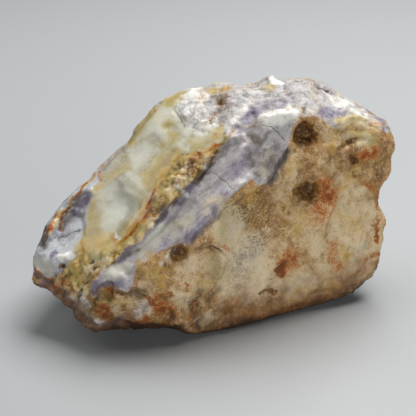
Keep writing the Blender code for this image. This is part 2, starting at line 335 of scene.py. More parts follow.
# The zones of the stone are outlines on the show side and layers across it elsewhere.
milkEdge = [                              # where the crust meets the milky face, in frame pixels
    (222, 140), (208, 146), (196, 150), (184, 153), (174, 160), (168, 172), (162, 180), (152, 191),
    (146, 205), (138, 219), (126, 234), (116, 244), (106, 254), (94, 262)
]
bandEdge = [                              # where the crust meets the band
    (114, 263), (128, 253), (138, 244), (150, 232), (160, 220), (170, 208), (180, 197), (190, 188),
    (202, 178), (211, 165), (215, 155), (222, 146)
]
zoneOutlines = {
    "facet": [(24, 262), (33, 244), (42, 224), (57, 208), (70, 194), (84, 180), (97, 166), (104, 168),
        (100, 180), (94, 194), (90, 212), (87, 232), (81, 248), (72, 262), (62, 270), (58, 276), (40, 278),
        (28, 272)],
    "milky": [(97, 166), (106, 150), (120, 136), (134, 126), (148, 108), (162, 92), (176, 84), (190, 84),
        (186, 96), (176, 106), (178, 118), (188, 128), (206, 134), (224, 131), *milkEdge, (84, 256),
        (84, 243), (87, 232), (90, 212), (94, 194), (100, 180)],
    "crust": [(230, 130), *milkEdge, (80, 252), (70, 262), (60, 272), (60, 286), (67, 300), (78, 314),
        (88, 310), (90, 298), (92, 284), (102, 272), *bandEdge, (230, 138)],
    "band": [*bandEdge, (230, 136), (240, 128), (256, 126), (272, 124), (286, 122), (296, 120), (291, 136),
        (287, 150), (281, 163), (273, 176), (265, 192), (256, 186), (250, 180), (242, 186), (234, 193),
        (224, 204), (213, 216), (201, 229), (190, 241), (184, 248), (172, 246), (160, 252), (148, 260),
        (136, 268), (133, 282), (128, 291), (116, 288), (110, 281), (100, 284), (93, 292), (92, 284),
        (102, 272)],
    "chalk": [(176, 84), (200, 78), (236, 76), (256, 76), (273, 68), (312, 68), (336, 84), (366, 98),
        (388, 116), (400, 138), (384, 131), (372, 124), (354, 122), (343, 128), (334, 129), (322, 122),
        (312, 116), (303, 116), (297, 120), (286, 122), (262, 124), (240, 128), (228, 133), (206, 134),
        (188, 128), (178, 118), (176, 106), (186, 96)],
}
zoneLayers = {                            # mm across the layers, on the sides that the frame doesn't show
    "band": (4.0, 15.0),
    "crust": (15.0, 20.5),
    "milky": (20.5, 37.0),
    "facet": (37.0, 43.0),
    "chalk": (43.0, 90.0),
}
layerWay = np.array([-0.63, 0.54, 0.55])
layerWaves = [(0.014, 3, 3.0, 4.0), (0.004, 2, 4.0, 1.2)]        # size, octaves, seed, mm
milkUnderCrust = 9.0                      # pixels that the milky face runs on under the crust
zoneRim = (-3.0, 3.0)                     # pixels over which a zone fades in
zoneRims = {"crust": (-2.0, 7.0)}         # for a zone of its own rim


def zoneDepths():
    # how deep each vertex is in each zone, in pixels
    flat = strayed("border")
    layer = places @ layerWay / mm
    for size, octaves, seed, reach in layerWaves:
        layer = layer + cloudy(places, size, octaves, seed) * reach
    depths = {}
    for name, outline in zoneOutlines.items():
        low, high = zoneLayers[name]
        behind = np.minimum(layer - low, high - layer) * mm * pixelsPerMetre
        depths[name] = insideBy(flat, outline) * shown + behind * hidden
    depths["milky"] += milkUnderCrust * ease(depths["crust"], *zoneRim)
    return depths


print("zones")
zones = {name: ease(depth, *zoneRims.get(name, zoneRim)) for name, depth in zoneDepths().items()}
rind = np.clip(1.0 - sum(zones.values()), 0.0, 1.0)

# Relief finer than the solid's: height in mm, radius in pixels, points in frame pixels.
reliefStrokes = {
    "rustSpot": (-0.25, 8, [(283, 269)]),
    "crownPit": (-0.9, 4, [(253, 114)]),
    "wedgeEdge": (0.15, 6, [(262, 123), (276, 118), (290, 115), (297, 119)]),
    "wedgeFace": (0.3, 7, [(262, 118), (280, 112)]),
    "wedgeHollow": (-0.5, 6, [(255, 110), (272, 103), (288, 98)]),
    "bandRidge": (0.5, 6, [(184, 226), (202, 208), (222, 190), (236, 168), (244, 148)]),
    "bandFoot": (-0.5, 5, [(190, 240), (204, 226), (218, 212), (230, 198)]),
    "bandHollow": (-0.6, 7, [(250, 136), (256, 142)]),
    "bandTop": (-0.4, 8, [(222, 172), (228, 158), (236, 146)]),
    "bandLow": (-0.4, 6, [(134, 254), (150, 240), (164, 226)]),
    "bandLobe": (0.6, 11, [(274, 146), (268, 162), (264, 172)]),
    "bandLobeEdge": (-0.5, 3.5, [(268, 131), (261, 142), (256, 152), (250, 172)]),
    "bandLobeRight": (-0.6, 4, [(290, 146), (284, 158), (277, 170), (271, 182)]),
    "rightStreak": (-0.5, 3.5, [(338, 147), (346, 143), (358, 139)]),
    "rightStreakLow": (-0.3, 3.5, [(364, 146), (376, 142)]),
    "rightSwell": (0.4, 7, [(344, 152), (362, 147)]),
    "flakeLip": (0.6, 4.5, [(214, 250), (222, 257), (220, 272), (212, 284)]),
    "flakeFace": (-0.4, 14, [(206, 270), (204, 284)]),
    "flakeUpper": (-0.4, 13, [(228, 214), (232, 228)]),
    "flakeUpperEdge": (0.4, 5, [(246, 200), (246, 218), (242, 236)]),
    "flakeLine": (-0.5, 3, [(200, 250), (212, 246), (222, 251)]),
    "roundScar": (-0.3, 14, [(330, 250)]),
    "roundScarEdge": (0.3, 5, [(312, 238), (318, 258), (332, 268)]),
    "rindSwell": (0.4, 16, [(300, 230), (316, 222)]),
    "rindDish": (-0.5, 16, [(352, 208), (356, 226)]),
    "footDish": (-0.4, 12, [(250, 300), (270, 304)]),
    "archHollow": (-1.1, 7, [(106, 297), (112, 292)]),
    "archLeft": (0.6, 5, [(93, 293), (97, 284), (104, 279)]),
    "archRight": (0.6, 7, [(122, 276), (128, 284)]),
    "lowFold": (-0.6, 4, [(97, 302), (108, 307), (122, 308)]),
    "lowFoldRight": (-0.5, 5, [(134, 300), (146, 306)]),
    "whiteKnob": (0.7, 6, [(84, 301)]),
    "whiteKnobHigh": (0.5, 5, [(72, 297)]),
    "brownKnob": (0.7, 6, [(96, 271)]),
    "goldKnob": (0.5, 6, [(80, 268)]),
    "milkKnob": (0.5, 7, [(104, 254)]),
    "darkHole": (-0.9, 3.5, [(63, 266)]),
    "darkHoleRight": (-0.9, 3.2, [(90, 261)]),
    "fingerGroove": (-0.7, 3.5, [(68, 206), (64, 216), (60, 228)]),
    "finger": (1.0, 4.2, [(55, 222), (51, 233)]),
    "leftCrack": (-0.4, 3, [(57, 238), (62, 237), (67, 237), (72, 233), (80, 231)]),
    "facetEdge": (0.4, 5, [(44, 262), (56, 262), (66, 258)]),
    "tipUnder": (-0.5, 5, [(36, 276), (50, 283)]),
    "ringRim": (0.2, 4.5, [(174, 148), (176, 139), (186, 136), (194, 142), (193, 150)]),
    "ringHollow": (-0.35, 4.5, [(184, 145)]),
    "glassKnob": (0.25, 7, [(186, 131)]),
    "glassKnobLeft": (0.2, 8, [(158, 132), (164, 140)]),
    "glassCrease": (-0.2, 5, [(168, 127), (176, 131)]),
    "greyCrease": (-0.3, 4, [(175, 111), (181, 119), (183, 126)]),
    "greyCreaseRight": (-0.15, 5, [(186, 124), (193, 130)]),
    "veilHigh": (0.15, 7, [(127, 172), (136, 182), (148, 192)]),
    "veilLow": (0.15, 7, [(122, 180), (130, 192)]),
    "milkLow": (0.6, 28, [(124, 198), (116, 214)]),
    "milkSwell": (0.3, 18, [(150, 152)]),
    "milkFold": (-0.15, 9, [(112, 176), (128, 164)]),
    "crustGap": (-0.7, 4, [(214, 153), (210, 164), (200, 177), (188, 189)]),
    "crustGapLow": (-0.6, 4, [(176, 201), (166, 213), (158, 223)]),
    "crustCrest": (0.5, 6, [(204, 158), (192, 170), (178, 184)]),
    "crustCrestLow": (0.5, 6, [(162, 192), (152, 208), (142, 222)]),
    "crustPocket": (-0.8, 5, [(190, 164), (183, 174)]),
    "crustPocketLow": (-0.7, 5, [(160, 206), (154, 214)]),
    "crownBump": (0.4, 6, [(271, 80)]),
    "crownBumpStep": (0.4, 5, [(262, 88), (280, 86)]),
    "crownFold": (-0.6, 4, [(284, 80), (284, 90), (292, 96)]),
    "crownFoldRight": (-0.5, 3.5, [(316, 84), (326, 90), (332, 93)]),
    "crownHollow": (-0.6, 8, [(218, 101)]),
    "crownTrough": (-0.5, 6, [(206, 118), (222, 112), (238, 104)]),
    "crownCrease": (-0.4, 4, [(246, 96), (266, 95), (282, 98)]),
    "shelf": (0.7, 5, [(337, 124), (350, 118), (366, 119), (380, 127)]),
    "shelfFoot": (-0.5, 5, [(334, 131), (350, 129), (366, 129)]),
    "footLump": (0.6, 8, [(186, 321)]),
    "footCleft": (-0.6, 3, [(171, 315), (175, 326)]),
    "footCleftRight": (-0.5, 3, [(197, 320), (199, 330)]),
    "footLumpLeft": (0.6, 8, [(150, 306)]),
    "footLumpRight": (0.4, 8, [(214, 320)]),
    "footGroove": (-0.5, 3.5, [(190, 312), (196, 302), (202, 291)]),
}
pits = {                                  # depth in mm, radius in pixels, middle in frame pixels
    "high": (1.7, 14.5, (304, 133)),
    "mid": (0.9, 14.0, (308, 191)),
    "low": (0.9, 9.0, (178, 254)),
    "right": (0.7, 7.5, (353, 158)),
    "rightLow": (0.35, 5.0, (372, 186)),
    "footLeft": (0.8, 3.6, (264, 293)),
    "footRight": (0.7, 3.4, (272, 291)),
    "crown": (0.5, 6.0, (221, 101)),
}
pitFloor = {                              # how rough the pits are inside
    "from": 0.10,                         # radii over which a pit deepens
    "to": 1.20,
    "waves": 0.30,                        # share of its depth
    "cells": 0.45,                        # mm
    "grain": 0.8,                         # beside the cells
}
reliefPatterns = {                        # noises that roughen the skin: maker, size, octaves, seed
    "lumps": (cloudy, 0.0048, 3, 8.0),
    "waves": (cloudy, 0.0022, 2, 12.0),
    "grain": (cloudy, 0.0012, 2, 9.0),
    "ridges": (ridgy, 0.0045, 3, 10.0),
    "chips": (chipped, 0.0062, 13.0),
    "cells": (lumpy, 0.0014, 11.0),
    "knots": (lumpy, 0.0034, 14.0),
}
roughness = {                             # mm of each of those patterns in each zone
    "rind": (0.36, 0.26, 0.21, 0.27, 0.30, 0.22, 0.00),
    "band": (0.10, 0.05, 0.02, 0.05, 0.16, 0.00, 0.00),
    "facet": (0.07, 0.02, 0.01, 0.02, 0.06, 0.00, 0.00),
    "milky": (0.08, 0.03, 0.02, 0.00, 0.10, 0.00, 0.00),
    "crust": (0.24, 0.24, 0.30, 0.16, 0.00, 0.42, 1.00),
    "chalk": (0.16, 0.16, 0.18, 0.15, 0.20, 0.24, 0.10),
}
knobbly = {                               # where the foot is lumpy all over
    "radius": 26,
    "points": [(62, 290), (84, 304), (112, 300), (150, 304), (190, 310), (226, 314)],
    "behindTop": 0.016,                   # the lumps fade between these heights on the hidden sides
    "behindFull": 0.006,
    "knobSize": 0.0036,
    "knobs": 1.9,                         # mm
    "knobLevel": 0.4,                     # where on a knob the skin is neither raised nor sunk
    "foldSize": 0.0060,
    "folds": 1.0,
    "calmUnder": 0.6,                     # share of them that is missing from the underside
    "underLean": (0.2, 0.6),              # how far a face must look down to count as that
}
striae = {                                # fine slanting streaks in the rind's right part
    "radius": 44,
    "points": [(346, 200), (356, 270)],
    "size": 0.0014,
    "height": 0.14,                       # mm
    "way": (0.62, 0.20, 0.76),
    "stretch": 0.85,
}
milkMelt = {                              # the milky face's edges are worn away
    "share": 0.85,
    "passes": 130,
}
crownKnob = {                             # the knob on the crown is worn round
    "middle": (272, 80),
    "radius": 12.0,
    "share": 0.9,
    "passes": 16,
}
restRoom = (0.0002, 0.0025)               # the relief fades between these heights, to keep the resting flat
hollowPasses = {"hollowFine": 5, "hollowWide": 60}


def fromLine(points, radius, where):
    line = pictureSpace(np.array([onStone(tree, point) for point in points]))
    return toLine(where, line) / radius


def strokeFade(points, radius):
    # 1 along a stroke, easing to 0 at its radius
    near = np.clip(1.0 - fromLine(points, radius, reliefPicture) ** 2, 0.0, 1.0)
    return near * near


def zoneMix(order):
    # how high one of the patterns stands at each vertex
    amount = rind * roughness["rind"][order]
    for name, zone in zones.items():
        amount = amount + zone * roughness[name][order]
    return amount * mm


def worn(places, share, passes):
    return places + share[:, None] * (smoothed(places, edges, passes) - places)


print("relief")
places = worn(places, milkMelt["share"] * (zones["milky"] * shown), milkMelt["passes"])
fromKnob = np.linalg.norm(picture[:, :2] - np.array(crownKnob["middle"]), axis=1) / crownKnob["radius"]
places = worn(places, crownKnob["share"] * shown * ease(fromKnob, 1.0, 0.4), crownKnob["passes"])
setPlaces(skin.data, places)
reliefPicture = strayed("relief")
relief = {kind: pattern(places, *values) for kind, (pattern, *values) in reliefPatterns.items()}
for kind in ("cells", "knots"):
    relief[kind] -= 0.5                   # these two run from 0 to 1
rise = np.zeros(len(places))
for height, radius, points in reliefStrokes.values():
    rise += height * mm * strokeFade(points, radius)
for order, pattern in enumerate(relief.values()):
    rise += zoneMix(order) * pattern
knobRoom = strokeFade(knobbly["points"], knobbly["radius"]) * shown
knobRoom = knobRoom + hidden * ease(places[:, 2], knobbly["behindTop"], knobbly["behindFull"])
knobRoom *= 1.0 - knobbly["calmUnder"] * ease(-normals[:, 2], *knobbly["underLean"])
footKnobs = lumpy(places, knobbly["knobSize"], 21.0)
footFolds = ridgy(places, knobbly["foldSize"], 3, 22.0)
rise += knobRoom * mm * (knobbly["knobs"] * (footKnobs - knobbly["knobLevel"]) + knobbly["folds"] * footFolds)
striaeTone = cloudy(alongWay(places, striae["way"], striae["stretch"]), striae["size"], 3, 23.0)
striaeRoom = strokeFade(striae["points"], striae["radius"])
rise += striaeRoom * striae["height"] * mm * striaeTone
for depth, radius, middle in pits.values():
    bowl = 1.0 - ease(fromLine([middle], radius, reliefPicture), pitFloor["from"], pitFloor["to"])
    rise -= depth * mm * bowl * (1.0 + pitFloor["waves"] * relief["waves"])
    rise += pitFloor["cells"] * mm * bowl * (relief["cells"] + pitFloor["grain"] * relief["grain"])
shapedNormals = softNormals(skin.data, edges, skinSettings["reliefNormals"])
shaped = places + shapedNormals * (rise * ease(places[:, 2], *restRoom))[:, None]
shaped[:, 2] = np.maximum(shaped[:, 2], 0.0)
setPlaces(skin.data, shaped)
hollow = {}                               # how far each vertex lies under its surroundings, in mm
for name, passes in hollowPasses.items():
    hollow[name] = ((smoothed(shaped, edges, passes) - shaped) * shapedNormals).sum(1) / mm

# Stains and colours laid on the zones, with painted shade, shadow, light and glints among them: strength,
# radius in pixels, points in frame pixels.
stainStrokes = {
    "rust": [
        (0.8, 1.8, [(58, 214), (52, 225)]), (1.2, 3, [(51, 231), (48, 238)]),
        (0.6, 2.2, [(87, 183), (80, 191), (73, 199)]), (0.8, 2, [(153, 109)]),
        (0.7, 1.8, [(100, 170), (100, 180)]), (0.9, 2, [(154, 191), (149, 199), (146, 210), (142, 219)]),
        (0.9, 1.5, [(141, 220), (132, 229), (124, 237)]), (0.7, 2, [(198, 153), (210, 147), (221, 142)]),
        (0.5, 4, [(197, 158), (191, 170)]), (0.5, 4, [(148, 206), (152, 214)]),
        (0.8, 2, [(33, 267), (42, 276), (54, 285), (61, 290)]), (0.9, 3, [(50, 283), (58, 288)]),
        (0.5, 4, [(64, 282), (74, 290)]), (0.8, 2, [(60, 292), (66, 302), (72, 311), (81, 320)]),
        (0.7, 5, [(110, 294)]), (1.0, 6, [(103, 309), (110, 317)]), (0.65, 9, [(154, 299), (162, 308)]),
        (0.3, 14, [(156, 298)]), (0.7, 3, [(166, 295), (171, 296)]), (0.8, 4.5, [(170, 308), (174, 314)]),
        (0.9, 3, [(126, 322), (140, 321), (150, 318)]), (2.4, 4.8, [(281, 271)]), (0.8, 9, [(284, 264)]),
        (0.6, 13, [(290, 260)]), (0.9, 8, [(324, 184), (328, 197)]), (0.5, 14, [(328, 194), (320, 212)]),
        (0.7, 8, [(360, 158), (372, 153)]), (0.5, 5, [(366, 184), (373, 189)]),
        (0.6, 3, [(380, 186), (378, 206)]), (0.8, 2.4, [(378, 222), (376, 240)]),
        (0.5, 3, [(380, 254), (382, 264)]), (0.6, 2.4, [(188, 285)]), (0.6, 2.4, [(177, 284)]),
        (0.5, 3, [(224, 246), (229, 250)]), (0.9, 1.4, [(201, 294), (197, 304), (191, 312), (183, 316)]),
        (0.6, 1.6, [(212, 306), (215, 314)]), (0.42, 7, [(335, 244), (333, 256), (338, 268)]),
        (0.35, 7, [(228, 306), (236, 300)]), (0.5, 3, [(252, 183)]), (0.5, 4, [(315, 145), (308, 128)]),
        (0.4, 3, [(378, 116), (384, 124)]), (0.5, 4, [(280, 318), (300, 312), (318, 306), (336, 298)]),
        (0.6, 3.5, [(262, 322), (244, 324), (222, 328)]), (0.3, 4, [(199, 102), (207, 96)]),
        (0.4, 2.5, [(215, 112), (207, 120)]),
    ],
    "ochre": [
        (0.6, 6, [(112, 246), (126, 236), (136, 222), (146, 206)]),
        (0.5, 5, [(152, 196), (160, 184), (170, 172)]), (1.1, 3.4, [(60, 212), (55, 221), (50, 234)]),
        (0.8, 2.4, [(94, 174), (84, 186), (72, 200), (62, 212)]),
        (0.6, 3.4, [(98, 186), (96, 200), (95, 211)]), (0.6, 8, [(86, 244), (84, 256)]),
        (0.6, 9, [(102, 242), (114, 238)]), (0.4, 9, [(76, 266), (84, 278)]),
        (0.3, 4, [(110, 176), (120, 173), (126, 166)]), (0.5, 5, [(160, 178), (170, 168), (178, 160)]),
        (0.8, 6, [(214, 150), (200, 156), (184, 160)]), (0.7, 5, [(140, 220), (150, 206)]),
        (0.6, 8, [(203, 100), (198, 92)]), (0.5, 5, [(212, 92), (228, 88)]),
        (0.3, 5, [(266, 86), (272, 86)]), (0.5, 7, [(222, 128), (214, 136)]),
        (0.35, 4, [(336, 132), (348, 126), (362, 125)]), (0.5, 6, [(334, 138), (330, 148)]),
        (0.4, 8, [(290, 232), (300, 222)]), (0.5, 6, [(343, 248), (346, 258)]),
        (0.5, 7, [(236, 202), (252, 196), (258, 190)]), (0.45, 10, [(146, 266), (158, 272)]),
        (0.5, 6, [(168, 268), (160, 286)]), (0.3, 10, [(196, 296), (206, 284)]),
        (0.4, 9, [(290, 208), (300, 216)]), (0.3, 6, [(290, 172), (296, 164)]),
        (0.4, 9, [(296, 298), (310, 290)]), (0.5, 9, [(302, 294), (332, 284)]),
        (0.6, 6, [(164, 198), (154, 210)]), (0.3, 12, [(340, 214), (356, 226)]),
        (0.3, 4, [(352, 130), (370, 134)]), (0.4, 8, [(356, 172), (346, 186)]),
        (0.4, 6, [(116, 306), (128, 300)]), (0.4, 8, [(150, 250), (140, 262)]),
    ],
    # umber is the brown of the pits and pockets; its strokes low on the foot and along the bottom edge are
    # painted shadow
    "umber": [
        (1.0, 12, [(303, 132), (306, 135)]), (0.45, 17, [(310, 128), (304, 142)]),
        (0.95, 10, [(304, 190), (310, 192)]), (0.45, 18, [(302, 191)]), (1.0, 7, [(177, 254), (181, 251)]),
        (0.4, 11, [(180, 258)]), (0.9, 6.5, [(350, 156), (354, 162)]),
        (1.0, 2.4, [(262, 293), (268, 290), (275, 291)]), (0.6, 6, [(192, 164), (188, 173)]),
        (0.5, 3.5, [(181, 175)]), (0.4, 4.5, [(172, 182), (180, 184)]), (0.2, 3, [(170, 204), (160, 214)]),
        (0.4, 3.5, [(186, 176), (184, 182)]), (0.4, 4, [(204, 164), (198, 172)]),
        (0.3, 11, [(246, 198), (262, 206), (258, 222)]), (0.3, 5, [(158, 262), (150, 272)]),
        (0.95, 2.3, [(67, 206), (63, 216), (59, 229)]), (0.8, 3.2, [(63, 267)]), (0.9, 2.3, [(90, 262)]),
        (0.7, 2.5, [(57, 274)]), (0.5, 3, [(68, 280), (72, 286)]), (0.7, 5, [(160, 322), (176, 328)]),
        (0.8, 5, [(172, 316), (168, 322)]),
        (0.9, 3, [(214, 331), (245, 323), (275, 316), (300, 311), (334, 299)]),
        (0.7, 3.4, [(338, 147), (348, 142), (358, 139)]), (0.4, 5, [(220, 103), (226, 96)]),
        (0.5, 3, [(213, 119), (206, 123)]), (0.6, 5, [(258, 192), (264, 188)]),
        (0.35, 6, [(284, 208), (292, 214)]), (0.6, 2, [(318, 87), (328, 90)]),
        (0.6, 2, [(304, 106), (302, 112)]), (0.5, 4, [(170, 268), (166, 262)]),
        (0.35, 5, [(310, 158), (312, 168)]), (0.45, 4, [(352, 170), (354, 176)]),
        (0.4, 5, [(378, 216), (374, 228)]), (0.5, 4, [(46, 288), (60, 292)]),
        (0.45, 3, [(126, 306), (124, 312)]), (0.5, 5, [(92, 298), (97, 305)]),
        (0.5, 3.5, [(118, 292), (122, 296)]), (0.6, 5, [(264, 318), (284, 312), (300, 308)]),
        (0.4, 5, [(146, 290), (140, 300)]), (0.5, 3, [(160, 294), (168, 300)]),
        (0.35, 7, [(208, 309), (252, 307)]),
    ],
    # shade is painted shade: creases, the lobe's edge, the underside and faces turned from the lamps
    "shade": [
        (0.9, 4.5, [(287, 152), (281, 162), (275, 172), (269, 184)]), (0.4, 11, [(248, 136), (258, 142)]),
        (0.5, 6, [(250, 150), (252, 162)]), (0.5, 6, [(212, 160), (220, 150), (228, 142)]),
        (0.4, 4.5, [(190, 243), (200, 234), (212, 222), (226, 208)]),
        (0.7, 3.5, [(214, 160), (207, 172), (196, 182)]), (0.7, 4, [(178, 198), (168, 208), (156, 222)]),
        (0.5, 4, [(136, 248), (122, 258)]), (1.2, 7, [(106, 328), (132, 328), (160, 329), (188, 334)]),
        (0.55, 4, [(172, 318), (176, 328)]), (0.5, 4, [(198, 322), (200, 330)]),
        (0.7, 6, [(60, 292), (76, 312), (96, 328)]), (0.6, 4, [(97, 290), (99, 298)]),
        (0.45, 3.2, [(97, 286), (106, 282)]), (0.9, 4.6, [(45, 230), (41, 242)]),
        (0.5, 6, [(82, 194), (74, 204)]), (0.35, 5, [(70, 212), (66, 222)]),
        (0.6, 4, [(36, 274), (50, 284)]), (0.3, 2.5, [(178, 112), (181, 120)]),
        (0.35, 5, [(246, 132), (236, 140)]), (0.5, 3, [(243, 196), (236, 206)]),
        (0.42, 6, [(262, 150), (258, 176)]), (0.42, 9, [(276, 146), (268, 166)]),
    ],
    "violet": [
        (1.1, 4.2, [(90, 196), (82, 203), (72, 210)]), (1.0, 4, [(52, 257), (56, 252)]),
        (1.3, 4.2, [(95, 289), (101, 284), (112, 284)]), (0.5, 8, [(244, 158), (238, 170)]),
        (0.3, 7, [(122, 282), (128, 286)]), (0.55, 6.4, [(188, 238), (199, 227), (213, 213)]),
        (0.4, 7, [(214, 208), (226, 192)]), (0.9, 4, [(118, 262), (130, 251), (142, 243)]),
        (0.7, 5, [(148, 236), (158, 228)]), (0.9, 4, [(156, 223), (167, 211)]),
        (0.45, 9, [(150, 246), (166, 238)]), (0.7, 4, [(196, 184), (186, 194), (178, 204)]),
        (0.85, 7, [(248, 116), (256, 112)]), (0.35, 6, [(242, 122), (236, 127)]),
        (0.45, 6, [(258, 106), (274, 103), (290, 99)]), (0.25, 6, [(268, 108), (280, 106)]),
        (0.7, 6.5, [(322, 113), (338, 112)]), (0.5, 4.5, [(378, 118), (384, 126)]),
        (0.4, 6, [(360, 106), (368, 110)]), (0.35, 5, [(104, 168), (114, 156), (126, 144)]),
        (0.5, 4, [(112, 322), (130, 320)]), (0.6, 6, [(44, 284), (52, 288)]),
        (0.45, 8, [(240, 160), (228, 172)]),
    ],
    "cream": [
        (0.6, 32, [(346, 214), (356, 256)]), (0.5, 14, [(310, 236), (322, 254)]),
        (1.2, 22, [(240, 250), (262, 274)]), (0.7, 13, [(186, 274), (198, 264)]),
        (0.45, 11, [(208, 284), (196, 292)]), (1.2, 15, [(222, 212), (230, 232)]),
        (1.0, 16, [(230, 286), (262, 290)]), (1.1, 15, [(292, 288), (318, 286)]),
        (0.4, 12, [(276, 246), (292, 262)]), (0.4, 15, [(292, 174), (284, 192)]),
        (0.4, 10, [(284, 208), (298, 220)]), (0.3, 9, [(326, 160), (336, 172)]),
        (0.5, 10, [(324, 130), (330, 140)]), (0.6, 7, [(342, 124), (356, 121), (374, 126)]),
        (0.6, 13, [(346, 186), (360, 200)]), (0.6, 10, [(372, 210), (374, 244)]),
        (0.6, 12, [(322, 270), (300, 276)]), (0.7, 7, [(126, 304), (134, 300)]),
        (0.6, 8, [(144, 286), (150, 292)]), (0.8, 7, [(112, 308), (120, 314)]),
        (0.9, 7, [(72, 296), (88, 314)]), (0.9, 9, [(176, 296), (190, 302)]),
        (0.7, 6, [(140, 300), (150, 308)]), (0.5, 7, [(86, 300), (92, 312)]),
        (0.9, 6, [(92, 269), (102, 264)]), (0.7, 5, [(82, 262), (86, 276)]),
        (0.7, 9, [(264, 276), (256, 268)]), (0.5, 10, [(342, 274), (326, 282)]),
        (0.7, 8, [(212, 312), (222, 304)]), (0.6, 8, [(158, 186), (168, 188)]),
        (0.7, 6, [(186, 166), (194, 158)]), (0.8, 6, [(148, 216), (138, 230)]),
        (0.5, 6, [(128, 238), (138, 232)]), (0.6, 6, [(176, 180), (168, 190)]),
        (0.45, 6, [(166, 198), (156, 210)]),
    ],
    "grey": [
        (0.6, 13, [(243, 258), (252, 246)]), (0.4, 9, [(232, 270), (250, 270)]),
        (0.3, 11, [(356, 258), (364, 246)]), (0.35, 7, [(180, 112), (188, 122)]),
        (0.6, 8, [(270, 156), (264, 172)]), (0.7, 3.6, [(46, 228), (42, 238)]),
        (0.6, 5, [(250, 136), (258, 140)]), (0.6, 6, [(104, 170), (112, 158), (124, 146)]),
        (0.5, 7, [(176, 226), (190, 220)]), (0.4, 8, [(164, 240), (176, 232)]),
        (0.4, 7, [(348, 138), (368, 140)]), (0.35, 10, [(232, 232), (240, 222)]),
        (0.5, 5, [(88, 318), (100, 326)]), (0.4, 6, [(200, 320), (214, 316)]),
        (0.3, 6, [(236, 310), (250, 300)]),
    ],
    # white is the stone's white, with painted glints in the small strokes on the left facet and the lower
    # milky face
    "white": [
        (0.9, 4.5, [(272, 80), (280, 82)]), (0.9, 3.8, [(63, 258), (71, 255)]),
        (1.0, 9, [(268, 119), (282, 114), (292, 112)]), (0.8, 5, [(288, 108), (296, 111)]),
        (0.9, 5, [(84, 298), (86, 306)]), (0.7, 9, [(202, 98), (190, 110)]),
        (0.5, 4, [(70, 298), (74, 304)]), (0.7, 4, [(98, 321), (104, 322)]),
        (0.5, 3, [(178, 189), (186, 195)]), (0.8, 3.2, [(204, 164), (208, 170)]),
        (0.8, 9, [(200, 112), (208, 122)]), (0.8, 8, [(188, 98), (196, 90)]),
        (0.45, 8, [(182, 100), (182, 112)]), (0.6, 9, [(190, 124), (204, 128)]),
        (0.6, 5, [(232, 122), (244, 110)]), (0.5, 6, [(330, 98), (350, 104)]),
        (0.5, 6, [(350, 112), (364, 114)]), (0.45, 6, [(176, 252), (166, 262)]),
        (0.22, 8, [(238, 150), (226, 166)]), (0.4, 8, [(150, 300), (140, 312)]),
        (0.6, 2, [(116, 232), (118, 238)]),
    ],
    # milk is the milky veils; the broad stroke over the dent on the lower milky face is painted light,
    # lifting a slope turned from the lamps
    "milk": [
        (0.85, 17, [(110, 200), (116, 216)]), (0.4, 7, [(126, 172), (134, 182), (146, 192), (154, 197)]),
        (0.5, 11, [(136, 162), (150, 148)]), (0.5, 9, [(156, 130), (164, 137)]),
        (0.55, 8, [(182, 143), (186, 146)]), (0.6, 8, [(182, 122), (186, 132)]),
        (0.5, 10, [(164, 112), (152, 126)]), (0.45, 9, [(198, 138), (212, 131)]),
        (0.8, 14, [(130, 200), (124, 214)]), (0.7, 7, [(36, 262), (48, 269)]),
        (0.7, 7, [(112, 274), (124, 268)]), (0.3, 8, [(180, 224), (192, 209), (206, 196)]),
        (0.6, 8, [(140, 250), (152, 240), (164, 230)]), (0.25, 7, [(216, 176), (226, 164), (234, 154)]),
        (0.25, 5, [(206, 198), (220, 184), (230, 172)]),
    ],
    "olive": [
        (0.6, 9, [(104, 248), (122, 240), (134, 226)]), (0.5, 8, [(166, 168), (172, 158)]),
        (0.8, 12, [(222, 210), (230, 222)]), (0.7, 11, [(226, 234), (236, 216)]),
        (0.5, 10, [(208, 262), (216, 272)]), (0.4, 12, [(112, 238), (124, 222)]),
        (0.35, 12, [(150, 176), (160, 166)]), (0.4, 8, [(352, 136), (372, 144)]),
        (0.2, 12, [(330, 228), (344, 222)]), (0.4, 7, [(200, 142), (216, 126)]),
        (0.35, 8, [(160, 100), (172, 92)]),
    ],
    "gold": [
        (1.3, 12, [(170, 164), (158, 180), (148, 196)]), (1.1, 8, [(144, 204), (138, 216), (128, 230)]),
        (0.8, 8, [(140, 222), (126, 234), (112, 244)]), (0.9, 8, [(100, 190), (97, 206), (95, 224)]),
        (0.5, 9, [(124, 138), (136, 124), (150, 108)]), (0.5, 10, [(178, 156), (200, 142), (216, 132)]),
        (0.5, 7, [(108, 178), (122, 168)]), (0.4, 10, [(150, 178), (138, 190)]),
        (0.7, 7, [(166, 124), (158, 116)]), (0.45, 8, [(172, 136), (166, 146)]),
        (0.6, 8, [(166, 96), (182, 88)]), (0.6, 6, [(186, 154), (176, 150)]),
        (0.6, 10, [(84, 244), (78, 262), (72, 276)]), (0.6, 8, [(96, 252), (110, 248), (122, 240)]),
        (1.1, 9, [(92, 232), (98, 244)]), (0.6, 5, [(338, 120), (352, 116), (364, 118)]),
        (0.5, 7, [(352, 136), (372, 140)]), (0.5, 10, [(90, 306), (106, 300)]),
        (0.3, 9, [(343, 250), (346, 258)]), (0.5, 6, [(202, 96), (214, 90)]),
        (0.3, 5, [(276, 84), (262, 88)]),
    ],
    "pepper": [
        (0.6, 8, [(204, 158), (190, 168), (180, 180)]), (0.65, 7, [(162, 200), (152, 214)]),
        (1.0, 12, [(240, 208), (252, 214), (262, 222)]), (0.9, 10, [(258, 200), (266, 208)]),
        (0.75, 12, [(256, 234), (262, 244)]), (0.55, 13, [(236, 262), (246, 250)]),
        (0.5, 10, [(234, 280), (246, 274)]), (0.7, 5, [(350, 156), (358, 164)]),
        (0.9, 8, [(220, 100), (224, 108)]), (0.5, 7, [(206, 116), (196, 122)]),
